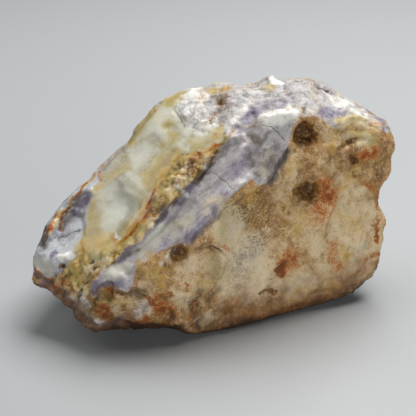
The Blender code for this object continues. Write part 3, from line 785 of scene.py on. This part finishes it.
        (0.4, 12, [(330, 150), (342, 162)]), (0.5, 8, [(306, 204), (296, 206)]),
        (0.5, 7, [(306, 82), (316, 84)]), (0.4, 8, [(290, 92), (300, 98)]),
        (0.5, 8, [(150, 286), (160, 292)]), (0.4, 9, [(130, 300), (142, 306)]),
        (0.5, 14, [(88, 304), (118, 310), (150, 314), (190, 318)]), (0.4, 12, [(228, 302), (262, 304)]),
        (0.4, 6, [(366, 182), (376, 196)]),
    ],
}
crackLines = {                            # strength, width in pixels, points in frame pixels
    "bandCrack": (0.95, 0.8, [(211, 171), (216, 174), (222, 180), (226, 182), (232, 189)]),
    "bandCrackRise": (0.45, 0.6, [(232, 189), (237, 184), (241, 178), (247, 173), (251, 166)]),
    "bandCrackTail": (0.6, 0.7, [(232, 188), (237, 193), (243, 196)]),
    "wedgeCrack": (1.0, 0.8, [(262, 125), (266, 126), (271, 127), (276, 131), (280, 135), (285, 140)]),
    "lobeLine": (0.3, 0.8, [(284, 140), (280, 144), (274, 145), (268, 149), (261, 150), (258, 158)]),
    "leftCrack": (0.9, 1.5, [(57, 239), (62, 237), (67, 237), (72, 233), (80, 231)]),
    "flakeCrack": (1.0, 1.6, [(213, 246), (217, 248), (222, 252)]),
    "flakeCrackThin": (0.6, 0.7, [(190, 252), (196, 249), (204, 249), (213, 246)]),
    "flakeEdge": (0.45, 0.8, [(222, 252), (226, 259), (223, 270), (216, 280), (212, 290), (205, 297)]),
    "flakeUpperEdge": (0.30, 0.7, [(245, 200), (246, 212), (245, 224), (240, 236), (232, 245)]),
    "crustLine": (0.7, 1.1, [(215, 153), (212, 159), (210, 165), (204, 172), (198, 179)]),
    "crustLineLow": (0.6, 0.9, [(188, 187), (180, 198), (172, 208)]),
    "crownLine": (0.7, 0.9, [(317, 87), (322, 88), (329, 90)]),
    "crownLineLeft": (0.6, 0.7, [(302, 106), (306, 103), (305, 110)]),
    "greyCrease": (0.6, 1.0, [(176, 111), (180, 117), (184, 126)]),
    "footLine": (0.6, 0.8, [(190, 312), (195, 304), (200, 296), (203, 290)]),
    "footLineRight": (0.45, 0.7, [(208, 292), (211, 304), (215, 312), (212, 322)]),
    "footCleft": (0.7, 1.0, [(171, 314), (174, 320), (176, 328)]),
    "footCleftRight": (0.6, 0.9, [(198, 318), (197, 324), (200, 330)]),
    "milkLine": (0.35, 0.5, [(128, 214), (134, 220), (139, 226)]),
    "archLine": (0.7, 0.8, [(94, 301), (98, 305), (103, 308)]),
    "bandEdgeLine": (0.35, 0.7, [(192, 243), (204, 232), (218, 218), (230, 205)]),
    "lobeEdgeLine": (0.6, 1.4, [(289, 148), (285, 158), (278, 169), (270, 184)]),
}
crackReach = 6.0                          # how many half widths of a crack the mesh records
crackEnd = (0.2, 1.2)                     # pixels past its end over which a crack fades
crackDepth = 4.0                          # pixels that a crack may lie off its line in depth
stainsBehind = {                          # on the hidden sides: patch size in mm, from, to, strength
    "rust": (13.0, 0.45, 0.95, 0.60),
    "ochre": (17.0, 0.10, 0.80, 0.55),
    "cream": (18.0, 0.05, 0.60, 0.60),
    "umber": (11.0, 0.60, 1.00, 0.60),
    "shade": (14.0, 0.45, 0.90, 0.35),
    "violet": (16.0, 0.20, 0.80, 0.60),
    "grey": (15.0, 0.25, 0.80, 0.45),
    "white": (12.0, 0.35, 0.80, 0.45),
    "milk": (14.0, 0.20, 0.70, 0.40),
    "olive": (18.0, 0.15, 0.70, 0.50),
    "gold": (16.0, 0.20, 0.70, 0.50),
    "pepper": (13.0, 0.30, 0.80, 0.60),
}
violetZones = {"band": 1.0, "facet": 0.8, "chalk": 0.5, "milky": 0.1, "crust": 0.2}
stainFade = (0.1, 1.7)                    # radii over which a stain thins out
hollowStain = (0.5, 1.4)                  # mm of hollow over which dark stains gather, on the hidden sides
hollowStrength = 0.9
footStainAndShadow = {                               # the foot's brown stain, and painted shadow on the underside
    "lean": (0.05, 0.5),                  # how far a face must look down to take painted shadow
    "heights": (0.026, 0.014),            # metres over which that starts
    "paleFoot": 0.60,                     # share of the brown that is missing along these strokes
    "paleFootRadius": 20.0,
    "paleFootPoints": [(84, 304), (130, 304), (176, 308), (206, 314)],
    "paleUnder": 0.75,
    "paleUnderRadius": 12.0,
    "paleUnderPoints": [(52, 286), (74, 306), (98, 322)],
}
gapDepths = {"knobs": (0.44, 0.24), "crust": (-0.06, -0.28)}     # where painted shade darkens between lumps


def softFade(points, radius):
    # 1 along a stroke, thinning out to nothing past its radius
    return 1.0 - ease(fromLine(points, radius, stainPicture), *stainFade)


def stainCover(name, order):
    cover = np.zeros(len(places))
    for strength, radius, points in stainStrokes[name]:
        cover = np.maximum(cover, strength * softFade(points, radius))
    size, low, high, strength = stainsBehind[name]
    behind = ease(cloudy(places, size * mm, 4, 20.0 + order), low, high) * strength
    if name == "violet":
        behind = behind * sum(zones[zone] * share for zone, share in violetZones.items())
    if name in ("umber", "rust"):
        behind = np.maximum(behind, ease(hollow["hollowWide"], *hollowStain) * hollowStrength)
    return cover + behind * hidden * (1.0 - cover)


def crackSides():
    # signed distance from the nearest crack, in its own half widths, and the crack's strength there
    side = np.full(len(places), crackReach)
    near = np.zeros(len(places))
    flat = strayed("crack")
    for strength, width, points in crackLines.values():
        line = [np.array(point, float) for point in points]
        depthLine = pictureSpace(np.array([onStone(tree, point) for point in points]))
        closeEnough = toLine(picture, depthLine) < width * crackReach + crackDepth
        for start, end in zip(line, line[1:]):
            run = end - start
            away = flat - start
            along = (away @ run) / (run @ run)
            across = (away[:, 1] * run[0] - away[:, 0] * run[1]) / np.linalg.norm(run)
            beyond = np.maximum(np.maximum(-along, along - 1.0), 0.0) * np.linalg.norm(run)
            here = across / (width * 0.5)
            wins = closeEnough & (beyond < crackEnd[1])
            wins &= np.hypot(here, beyond / (width * 0.5)) < np.abs(side)
            side[wins] = np.clip(here[wins], -crackReach, crackReach)
            near[wins] = strength * (1.0 - ease(beyond[wins], *crackEnd))
    return side, near


def record(mesh, name, values):
    layer = mesh.attributes.get(name) or mesh.attributes.new(name, "FLOAT", "POINT")
    layer.data.foreach_set("value", np.asarray(values, np.float32))


print("stains")
stainPicture = strayed("stain")
masks = dict(zones)
for order, name in enumerate(stainStrokes):
    masks[name] = stainCover(name, order)
masks["crackSide"], masks["crackNear"] = crackSides()
masks["hidden"] = hidden
masks["streaked"] = striaeRoom * striaeTone
masks.update(hollow)
masks["grainTone"] = np.zeros(len(places))
masks["gapShade"] = np.maximum(knobRoom * ease(footKnobs, *gapDepths["knobs"]),
                           zones["crust"] * ease(relief["knots"], *gapDepths["crust"]))
paleUnder = softFade(footStainAndShadow["paleUnderPoints"], footStainAndShadow["paleUnderRadius"])
# painted shadow on faces that look down near the floor, lighter at the lower left
masks["under"] = ease(-shapedNormals[:, 2], *footStainAndShadow["lean"]) * ease(shaped[:, 2], *footStainAndShadow["heights"])
masks["under"] *= 1.0 - footStainAndShadow["paleUnder"] * paleUnder
paleFoot = softFade(footStainAndShadow["paleFootPoints"], footStainAndShadow["paleFootRadius"])
masks["footRoom"] = 1.0 - footStainAndShadow["paleFoot"] * paleFoot
for name, values in masks.items():
    record(skin.data, name, values)
for face in skin.data.polygons:
    face.use_smooth = True

# Small crystals grow on the crust, in the pits and thinly on the crown.
crystalSettings = {
    "count": 2400,
    "smallest": 0.16,                     # mm across
    "largest": 0.38,
    "mostlySmall": 2.2,                   # above 1, small ones outnumber large ones
    "sides": 6,
    "shoulder": 0.62,                     # share of the length where the point starts
    "length": 1.4,                        # in widths
    "lengthVary": (0.7, 0.6),             # least, and what chance adds
    "thickness": (0.7, 0.5),
    "lean": 0.45,
    "sunk": 0.62,                         # share of the length below the skin
    "toneVary": 0.5,
    "knots": (0.1, -0.3),                 # on the crust they stand between the knots
    "onKnots": 0.15,
    "onCrown": 0.05,
    "crownRidges": (0.0, 0.4),
    "inPits": 0.6,
    "calmLeft": 0.7,                      # share of them that is missing from the left end
    "leftEnd": (160.0, 120.0),            # frame pixels
    "aboveFloor": (0.001, 0.003),
    "seed": 11,
    "slot": "opal",
}


def crystalShape():
    # a prism with a point, standing on z = 0, one wide and one long
    sides = crystalSettings["sides"]
    corners = []
    for height in (0.0, crystalSettings["shoulder"]):
        for turn in range(sides):
            angle = 2.0 * math.pi * turn / sides
            corners.append((0.5 * math.cos(angle), 0.5 * math.sin(angle), height))
    corners.append((0.0, 0.0, 1.0))
    faces = [tuple(reversed(range(sides)))]
    for turn in range(sides):
        after = (turn + 1) % sides
        faces.append((turn, after, sides + after, sides + turn))
        faces.append((sides + turn, sides + after, 2 * sides))
    return np.array(corners), faces


def crystalRoom():
    # how likely a crystal is to grow from each vertex
    grow = crystalSettings
    room = masks["crust"] ** 2 * (grow["onKnots"] + ease(relief["knots"], *grow["knots"]))
    room = room + grow["onCrown"] * masks["chalk"] * ease(relief["ridges"], *grow["crownRidges"])
    room = room + grow["inPits"] * np.clip(masks["umber"], 0.0, 1.0) ** 2 * (0.3 + masks["crust"])
    room = room * (1.0 - grow["calmLeft"] * shown * ease(picture[:, 0], *grow["leftEnd"]))
    room = room * ease(shaped[:, 2], *grow["aboveFloor"])
    return room / room.sum()


def growCrystals():
    grow = crystalSettings
    chance = np.random.default_rng(grow["seed"])
    feet = chance.choice(len(shaped), grow["count"], replace=False, p=crystalRoom())
    corners, faces = crystalShape()
    spread = grow["largest"] - grow["smallest"]
    leastLong, moreLong = grow["lengthVary"]
    leastThick, moreThick = grow["thickness"]
    allCorners, allFaces, tones = [], [], []
    for foot in feet:
        width = grow["smallest"] + chance.random() ** grow["mostlySmall"] * spread
        length = width * grow["length"] * (leastLong + moreLong * chance.random())
        way = Vector(shapedNormals[foot] + chance.normal(0.0, grow["lean"], 3)).normalized()
        spin = Matrix.Rotation(chance.random() * 6.3, 3, "Z")
        turn = np.array(way.to_track_quat("Z", "Y").to_matrix() @ spin)
        grown = corners * np.array([width, width * (leastThick + moreThick * chance.random()), length]) * mm
        grown[:, 2] -= length * mm * grow["sunk"]
        base = len(allCorners) * len(corners)
        allCorners.append(grown @ turn.T + shaped[foot])
        allFaces.extend(tuple(base + corner for corner in face) for face in faces)
        tones.append(chance.normal(0.0, grow["toneVary"]))
    mesh = bpy.data.meshes.new("crustCrystals")
    mesh.from_pydata(np.concatenate(allCorners).tolist(), [], allFaces)
    for name, values in masks.items():
        record(mesh, name, np.repeat(np.asarray(values)[feet], len(corners)))
    record(mesh, "grainTone", np.repeat(tones, len(corners)))
    return linked("crustCrystals", mesh)


print("crystals")
crystals = growCrystals()

# One procedural material covers the skin and the crystals.
finishSettings = {
    "coatRoughness": 0.15,
    "specular": 0.32,
    "glow": (1.0, 0.95, 0.75),            # how far light spreads inside, for red, green and blue
    "glowReach": 0.0030,
    "bumpDepth": 0.00036,
    "bumpStrength": 0.95,
    "coarseGrain": 1.3,                   # beside the fine grain of the bump
    "roughVary": 0.5,
    "zoneRagged": 1.6,                    # how much the zones' borders break up
    "streakLength": 0.78,                 # share by which the band's noise is drawn out along it
    "crackEdge": (1.5, 0.6),              # half widths over which a crack darkens
    "crackCover": 0.85,
    "gapShadeCover": 0.60,
    "underShadowCover": 0.85,
    "footCover": 0.68,
    "footBrown": (18.0, 2.0),             # mm above the floor over which the foot browns
    "footShadow": (8.0, -3.0),              # and takes painted shadow, by the same ragged level
    "footShadowCover": 0.85,
    "footRagged": 26.0,
}
zoneFinish = {                            # roughness, fine bump, glow, wet-looking coat
    "rind": (0.64, 0.90, 0.06, 0.03),
    "band": (0.42, 0.35, 0.10, 0.22),
    "milky": (0.20, 0.26, 0.80, 0.45),
    "facet": (0.32, 0.25, 0.30, 0.30),
    "chalk": (0.55, 0.90, 0.25, 0.15),
    "crust": (0.42, 1.00, 0.15, 0.22),
}
colours = {                               # display colours, 0 to 255
    "rindPale": (218, 191, 148), "rindCream": (200, 163, 112), "rindTan": (174, 138, 88),
    "rindBrown": (136, 102, 62), "rindWarm": (182, 134, 90), "rindDust": (106, 80, 50),
    "bandGrey": (160, 154, 156), "bandTaupe": (128, 122, 125), "bandLight": (190, 186, 185),
    "bandViolet": (122, 113, 132), "bandVein": (208, 204, 200), "milkBody": (162, 156, 130),
    "milkWhite": (178, 176, 156), "milkYellow": (164, 146, 78), "milkDeep": (150, 134, 80),
    "milkVeil": (206, 206, 192), "crustDark": (86, 60, 28), "crustBrown": (176, 138, 74),
    "crustGold": (220, 184, 100), "crustCream": (234, 212, 152), "crustSugar": (224, 212, 184),
    "chalkWhite": (186, 183, 181), "chalkGrey": (142, 134, 129), "chalkCream": (190, 172, 138),
    "chalkLilac": (164, 156, 166), "chalkBright": (202, 201, 200), "chalkCrease": (112, 104, 98),
    # the dark brown for gaps between lumps is painted shade
    "gapShadeTone": (84, 56, 26), "facetWhite": (184, 187, 190), "facetLilac": (154, 152, 160),
    "facetGrey": (146, 146, 150), "rustDeep": (124, 58, 14), "rust": (168, 94, 32),
    "rustPale": (194, 140, 76), "ochre": (180, 138, 58), "ochrePale": (204, 174, 102),
    "gold": (154, 128, 44), "goldPale": (182, 162, 84), "softPale": (194, 191, 172),
    "softWhite": (210, 210, 196), "pitDark": (66, 42, 16), "pitBrown": (120, 80, 30),
    "pitHalo": (160, 124, 66), "violet": (92, 82, 100), "violetPale": (146, 138, 154),
    "grey": (200, 190, 168), "greyDeep": (164, 152, 130), "white": (240, 238, 232),
    "whitePale": (218, 215, 206), "olive": (190, 176, 136), "oliveDeep": (166, 150, 106),
    # the hollows' brown is dirt and painted shade; the pale for high spots is wear and painted highlight
    "pepper": (74, 50, 24), "crack": (50, 44, 44), "dirtAndShade": (108, 78, 42), "worn": (224, 212, 188),
    # the foot's darkest brown is painted shadow
    "footBrown": (122, 76, 36), "footShadow": (44, 27, 15), "cream": (210, 186, 146),
    "creamPale": (226, 208, 174), "shadePale": (120, 110, 106), "shadeDeep": (56, 46, 42),
}
stainLooks = {                            # tones from rim inward, patch in mm, spread, strength, seed, grain
    "cream": ([(0.3, "cream"), (1.0, "creamPale")], 3.0, 3.0, 0.80, 49.0, 2.0),
    "olive": ([(0.3, "olive"), (1.0, "oliveDeep")], 5.0, 2.5, 0.75, 41.0, 1.2),
    "gold": ([(0.3, "goldPale"), (1.0, "gold")], 3.5, 2.0, 0.75, 40.0, 0.6),
    "grey": ([(0.3, "grey"), (1.0, "greyDeep")], 2.6, 3.5, 0.80, 42.0, 2.4),
    "ochre": ([(0.2, "ochrePale"), (0.8, "ochre")], 2.6, 4.0, 0.80, 43.0, 1.2),
    "violet": ([(0.3, "violetPale"), (1.1, "violet")], 2.4, 3.0, 0.90, 44.0, 1.2),
    "white": ([(0.3, "whitePale"), (0.8, "white")], 2.2, 3.5, 0.90, 45.0, 1.2),
    "milk": ([(0.3, "softPale"), (1.1, "softWhite")], 4.0, 1.2, 0.75, 39.0, 0.3),
    "rust": ([(0.2, "rustPale"), (0.6, "rust"), (1.1, "rustDeep")], 1.6, 3.0, 0.96, 46.0, 2.4),
    "shade": ([(0.2, "shadePale"), (1.0, "shadeDeep")], 2.0, 2.0, 0.85, 38.0, 1.2),
    "pepper": None,                       # specks, made below
    "umber": ([(0.12, "pitHalo"), (0.60, "pitBrown"), (1.30, "pitDark")], 1.0, 4.0, 0.92, 47.0, 2.0),
}
opal = bpy.data.materials.new("opal")
opal.use_nodes = True
opal.node_tree.nodes.clear()


def addNode(kind, inputs, **choices):
    # an input is a number, a colour or another node's output
    made = opal.node_tree.nodes.new(kind)
    for name, value in choices.items():
        setattr(made, name, value)
    for name, value in inputs.items():
        if isinstance(value, bpy.types.NodeSocket):
            opal.node_tree.links.new(value, made.inputs[name])
        else:
            made.inputs[name].default_value = value
    return made


def paint(name):
    # a named display colour as the linear colour that a shader takes
    parts = [part / 255.0 for part in colours[name]]
    return (*[part / 12.92 if part <= 0.04045 else ((part + 0.055) / 1.055) ** 2.4 for part in parts], 1.0)


def maths(operation, first, second=0.0):
    return addNode("ShaderNodeMath", {0: first, 1: second}, operation=operation).outputs[0]


def times(first, second):
    return maths("MULTIPLY", first, second)


def plus(first, second):
    return maths("ADD", first, second)


def vectorMaths(operation, first, second):
    return addNode("ShaderNodeVectorMath", {0: first, 1: second}, operation=operation).outputs


def step(value, low, high, least=0.0, most=1.0):
    return addNode("ShaderNodeMapRange", {"Value": value, "From Min": low, "From Max": high, "To Min": least,
                                          "To Max": most}, interpolation_type="SMOOTHSTEP").outputs["Result"]


def blend(share, under, over):
    return addNode("ShaderNodeMix", {0: share, 6: under, 7: over}, data_type="RGBA").outputs[2]


def blendNumber(share, under, over):
    return addNode("ShaderNodeMix", {0: share, 2: under, 3: over}, data_type="FLOAT").outputs[0]


def ramp(value, stops):
    made = addNode("ShaderNodeValToRGB", {"Fac": value})
    points = made.color_ramp.elements
    for index, (place, name) in enumerate(stops):
        point = points[index] if index < len(points) else points.new(place)
        point.position = place
        point.color = paint(name)
    return made.outputs["Color"]


def recorded(name):
    return addNode("ShaderNodeAttribute", {}, attribute_name=name).outputs["Fac"]


def clouds(size, detail=3.0, seed=0.0, where=None, twist=0.0):
    # noise with features of that size in mm, about 0.3 to 0.7
    place = vectorMaths("ADD", where or stonePlace, (seed * 13.7, seed * 7.9, seed * 3.3))[0]
    return addNode("ShaderNodeTexNoise", {"Vector": place, "Scale": 1.0 / size, "Detail": detail,
                                          "Roughness": 0.6, "Distortion": twist}).outputs["Fac"]


def swing(size, detail, seed, strength):
    # noise about 0, up to about a fifth of the strength to either side
    return times(plus(clouds(size, detail, seed), -0.5), strength)


def alongBand():
    # places squeezed along the band, so that noise read there runs in streaks
    dot = vectorMaths("DOT_PRODUCT", stonePlace, tuple(bandWay))["Value"]
    share = times(dot, -finishSettings["streakLength"])
    back = addNode("ShaderNodeVectorMath", {0: tuple(bandWay), "Scale": share}, operation="SCALE").outputs[0]
    return vectorMaths("ADD", stonePlace, back)[0]


def veins(size, width, seed, detail=3.0, where=None):
    # thin wandering lines where the noise crosses its middle
    off = maths("ABSOLUTE", plus(clouds(size, detail, seed, where), -0.5))
    return step(off, width, 0.0)


def brokenVeins(under, size, width, detail, gapSize, seed, name):
    # veins in a colour, which come and go
    here = step(clouds(gapSize, 2.0, seed + 1.0), 0.46, 0.60, 0.0, 0.60)
    return blend(times(veins(size, width, seed, detail), here), under, paint(name))


def patched(under, patches, where=None, twist=0.0):
    # patches of a colour where noise runs high: size in mm, detail, seed, from, to, strength, colour
    for size, detail, seed, low, high, strength, name in patches:
        here = step(clouds(size, detail, seed, where, twist), low, high)
        under = blend(times(here, strength), under, paint(name))
    return under


def grainy(tone, seed, strength):
    # a tone broken up by grains about half a millimetre across
    return plus(tone, swing(0.5, 4.0, seed, strength))


def rindColour():
    tone = plus(clouds(4.0, 6.0, 1.0), swing(11.0, 2.0, 2.0, 0.5))
    tone = grainy(plus(tone, times(recorded("streaked"), 0.10)), 90.0, 0.40)
    made = ramp(tone, [(0.40, "rindBrown"), (0.48, "rindTan"), (0.55, "rindCream"), (0.64, "rindPale")])
    made = patched(made, [
        (6.0, 5.0, 3.0, 0.50, 0.60, 0.45, "rindWarm"),
        (3.2, 5.0, 4.0, 0.51, 0.61, 0.50, "ochre"),
        (2.0, 5.0, 5.0, 0.52, 0.60, 0.55, "rindBrown"),
        (1.4, 4.0, 6.0, 0.53, 0.62, 0.45, "rindPale"),
        (2.8, 6.0, 97.0, 0.54, 0.64, 0.38, "rustPale"),
    ])
    made = brokenVeins(made, 7.0, 0.016, 4.0, 9.0, 93.0, "rust")
    made = brokenVeins(made, 4.0, 0.010, 3.0, 7.0, 95.0, "rindDust")
    return patched(made, [(0.4, 3.0, 7.0, 0.52, 0.60, 0.62, "rindDust")])


def bandColour():
    tone = plus(times(clouds(5.5, 5.0, 8.0, streaks), 0.6), times(clouds(3.0, 5.0, 9.0), 0.4))
    made = ramp(tone, [(0.38, "bandTaupe"), (0.49, "bandGrey"), (0.60, "bandLight")])
    made = patched(made, [(4.0, 5.0, 10.0, 0.50, 0.64, 0.45, "bandViolet")], streaks)
    made = patched(made, [(1.6, 4.0, 11.0, 0.53, 0.66, 0.38, "bandLight")])
    made = blend(times(veins(7.0, 0.020, 12.0, 4.0, streaks), 0.45), made, paint("bandVein"))
    return patched(made, [(0.6, 3.0, 13.0, 0.53, 0.66, 0.38, "bandTaupe")])


def milkColour():
    made = ramp(clouds(8.0, 3.0, 14.0), [(0.38, "milkDeep"), (0.47, "milkBody"), (0.60, "milkWhite")])
    made = patched(made, [(5.0, 4.0, 15.0, 0.53, 0.68, 0.45, "milkYellow")], twist=0.6)
    made = blend(times(veins(7.0, 0.030, 16.0), 0.35), made, paint("milkVeil"))
    return patched(made, [(2.0, 5.0, 17.0, 0.51, 0.66, 0.32, "milkVeil")])


def crustColour():
    tone = plus(clouds(2.2, 5.0, 18.0), times(recorded("grainTone"), 0.06))
    tone = grainy(plus(tone, swing(6.0, 3.0, 19.0, 0.8)), 92.0, 0.70)
    # painted shade: the crust is darker in its hollows
    tone = plus(tone, times(recorded("hollowFine"), -0.4))
    tone = plus(tone, times(recorded("hollowWide"), -0.10))
    return ramp(tone, [(0.30, "crustDark"), (0.40, "crustBrown"), (0.49, "crustGold"), (0.60, "crustCream"),
                       (0.76, "crustSugar")])


def chalkColour():
    tone = grainy(clouds(3.4, 5.0, 20.0), 91.0, 0.45)
    made = ramp(tone, [(0.38, "chalkGrey"), (0.48, "chalkWhite"), (0.62, "chalkBright")])
    made = patched(made, [
        (4.5, 5.0, 21.0, 0.50, 0.60, 0.45, "chalkCream"),
        (6.0, 4.0, 22.0, 0.48, 0.58, 0.40, "chalkLilac"),
        (1.5, 4.0, 23.0, 0.53, 0.62, 0.45, "chalkGrey"),
    ])
    return blend(times(veins(3.0, 0.018, 24.0, 4.0), 0.55), made, paint("chalkCrease"))


def facetColour():
    made = ramp(clouds(7.0, 4.0, 25.0), [(0.36, "facetGrey"), (0.44, "facetLilac"), (0.52, "facetWhite")])
    made = patched(made, [
        (3.0, 5.0, 26.0, 0.53, 0.64, 0.45, "facetLilac"),
        (0.7, 3.0, 28.0, 0.50, 0.62, 0.45, "facetGrey"),
    ])
    return blend(times(veins(5.0, 0.016, 27.0), 0.25), made, paint("white"))


def wash(under, name, tones, size, spread, strength, seed, grains):
    # a stain: thin and patchy at its rim, deeper in tone toward its middle
    patchy = plus(swing(size, 5.0, seed, spread), 1.0)
    cover = times(recorded(name), grainy(patchy, seed + 50.0, grains))
    return blend(times(step(cover, 0.08, 0.60), strength), under, ramp(cover, tones))


def peppered(under):
    # a brown haze with dark specks in it
    haze = times(step(clouds(1.6, 5.0, 48.0), 0.42, 0.62), recorded("pepper"))
    made = blend(times(haze, 0.30), under, paint("rindBrown"))
    specks = times(step(clouds(0.55, 4.0, 50.0), 0.50, 0.58), step(recorded("pepper"), 0.05, 0.9))
    return blend(times(specks, 0.72), made, paint("pepper"))


def stainedColour(made):
    for name, look in stainLooks.items():
        made = wash(made, name, *look) if look else peppered(made)
    return made


def footColour(made):
    # the foot of the stone, browned where it stood in wet earth, with painted shadow near the floor and on
    # faces that look down
    height = addNode("ShaderNodeSeparateXYZ", {0: stonePlace}).outputs["Z"]
    level = plus(height, swing(5.0, 5.0, 55.0, finishSettings["footRagged"]))
    brown = step(level, *finishSettings["footBrown"], 0.0, finishSettings["footCover"])
    made = blend(times(brown, recorded("footRoom")), made, paint("footBrown"))
    dark = step(level, *finishSettings["footShadow"], 0.0, finishSettings["footShadowCover"])
    made = blend(dark, made, paint("footShadow"))
    return blend(times(recorded("under"), finishSettings["underShadowCover"]), made, paint("footShadow"))


def crackedColour(made):
    # the recorded cracks, and hair cracks of their own on the hidden sides
    line = step(maths("ABSOLUTE", recorded("crackSide")), *finishSettings["crackEdge"])
    cover = times(times(line, recorded("crackNear")), finishSettings["crackCover"])
    made = blend(cover, made, paint("crack"))
    hair = times(veins(16.0, 0.0035, 60.0, 2.0), step(clouds(12.0, 2.0, 61.0), 0.50, 0.56))
    smoothZones = plus(recorded("band"), plus(recorded("facet"), times(recorded("milky"), 0.4)))
    return blend(times(times(hair, smoothZones), times(recorded("hidden"), 0.8)), made, paint("crack"))


def hollowColour(made):
    # dirt and painted shade in the hollows, least on the smooth zones, and high spots lightened as wear and
    # painted highlight
    clean = plus(plus(recorded("milky"), recorded("band")), recorded("facet"))
    deep = plus(step(recorded("hollowFine"), 0.02, 0.22), step(recorded("hollowWide"), 0.15, 0.80))
    made = blend(times(deep, step(clean, 0.9, 0.2, 0.10, 0.48)), made, paint("dirtAndShade"))
    return blend(times(step(recorded("hollowFine"), -0.03, -0.22), 0.18), made, paint("worn"))


def makeFinish():
    colour, numbers = rindColour(), zoneFinish["rind"]
    for name, look in (("band", bandColour), ("milky", milkColour), ("facet", facetColour),
                       ("chalk", chalkColour), ("crust", crustColour)):
        share = step(plus(recorded(name), swing(1.0, 4.0, 70.0, finishSettings["zoneRagged"])), 0.34, 0.66)
        share = times(share, step(recorded(name), 0.01, 0.10))
        colour = blend(share, colour, look())
        numbers = [blendNumber(share, under, over) for under, over in zip(numbers, zoneFinish[name])]
    rough, fineBump, glow, coat = numbers
    colour = stainedColour(hollowColour(colour))
    # painted shade in the gaps between lumps
    gapShade = times(recorded("gapShade"), step(clouds(1.2, 4.0, 83.0), 0.34, 0.56))
    colour = footColour(blend(times(gapShade, finishSettings["gapShadeCover"]), colour, paint("gapShadeTone")))
    rough = plus(rough, swing(1.2, 3.0, 80.0, finishSettings["roughVary"]))
    grain = plus(clouds(0.45, 4.0, 81.0), times(clouds(1.4, 4.0, 82.0), finishSettings["coarseGrain"]))
    uneven = addNode("ShaderNodeBump", {
        "Strength": times(fineBump, finishSettings["bumpStrength"]),
        "Distance": finishSettings["bumpDepth"], "Height": grain}).outputs["Normal"]
    shader = addNode("ShaderNodeBsdfPrincipled", {
        "Base Color": crackedColour(colour), "Roughness": rough, "Normal": uneven, "Subsurface Weight": glow,
        "Subsurface Radius": finishSettings["glow"], "Subsurface Scale": finishSettings["glowReach"],
        "Coat Weight": coat, "Coat Roughness": finishSettings["coatRoughness"],
        "Specular IOR Level": finishSettings["specular"]})
    addNode("ShaderNodeOutputMaterial", {"Surface": shader.outputs[0]})


print("finish")
stonePlace = vectorMaths("MULTIPLY", addNode("ShaderNodeTexCoord", {}).outputs["Object"],
                         (1000.0, 1000.0, 1000.0))[0]                         # in mm
bandWay = onStone(tree, (262, 130)) - onStone(tree, (140, 252))
bandWay /= np.linalg.norm(bandWay)
streaks = alongBand()
makeFinish()
for piece in (skin, crystals):
    piece.data.materials.clear()
    piece.data.materials.append(opal)
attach(skin, "root")
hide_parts("rough_opal")
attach(crystals, "root")

stage = {
    "floorSide": 6.0,
    "floorColour": (0.40, 0.41, 0.415),
    "floorRoughness": 0.45,
    "skyColour": (0.84, 0.93, 1.0),
    "skyStrength": 0.05,
}
softboxes = {                             # place, place it points at, size, power
    "key": ((0.14, 0.22, 0.52), (0, 0, 0.02), (0.42, 0.42), 4.9),
    "fill": ((0.20, -0.60, 0.10), (0, 0, 0.03), (0.40, 0.25), 2.3),
    "side": ((-0.42, 0.18, 0.45), (0, 0, 0.02), (0.40, 0.40), 1.0),
}


def makeFloor():
    floor = bmesh.new()
    bmesh.ops.create_grid(floor, x_segments=1, y_segments=1, size=stage["floorSide"] / 2)
    mesh = bpy.data.meshes.new("floor")
    floor.to_mesh(mesh)
    floor.free()
    finish = bpy.data.materials.new("floor")
    finish.use_nodes = True
    shader = finish.node_tree.nodes["Principled BSDF"]
    shader.inputs["Base Color"].default_value = (*stage["floorColour"], 1.0)
    shader.inputs["Roughness"].default_value = stage["floorRoughness"]
    mesh.materials.append(finish)
    linked("floor", mesh)


def softbox(name, place, target, size, power):
    lamp = bpy.data.lights.new(name, "AREA")
    lamp.shape = "RECTANGLE"
    lamp.size, lamp.size_y = size
    lamp.energy = power
    light = linked(name, lamp)
    light.location = place
    light.rotation_euler = (Vector(target) - Vector(place)).to_track_quat("-Z", "Y").to_euler()
    light.visible_camera = False


def makeSky():
    world = bpy.data.worlds.new("studio")
    bpy.context.scene.world = world
    world.use_nodes = True
    sky = world.node_tree.nodes["Background"]
    sky.inputs["Color"].default_value = (*stage["skyColour"], 1.0)
    sky.inputs["Strength"].default_value = stage["skyStrength"]


print("stage")
makeFloor()
for name, values in softboxes.items():
    softbox(name, *values)
makeSky()
bpy.context.scene.view_settings.view_transform = "Standard"
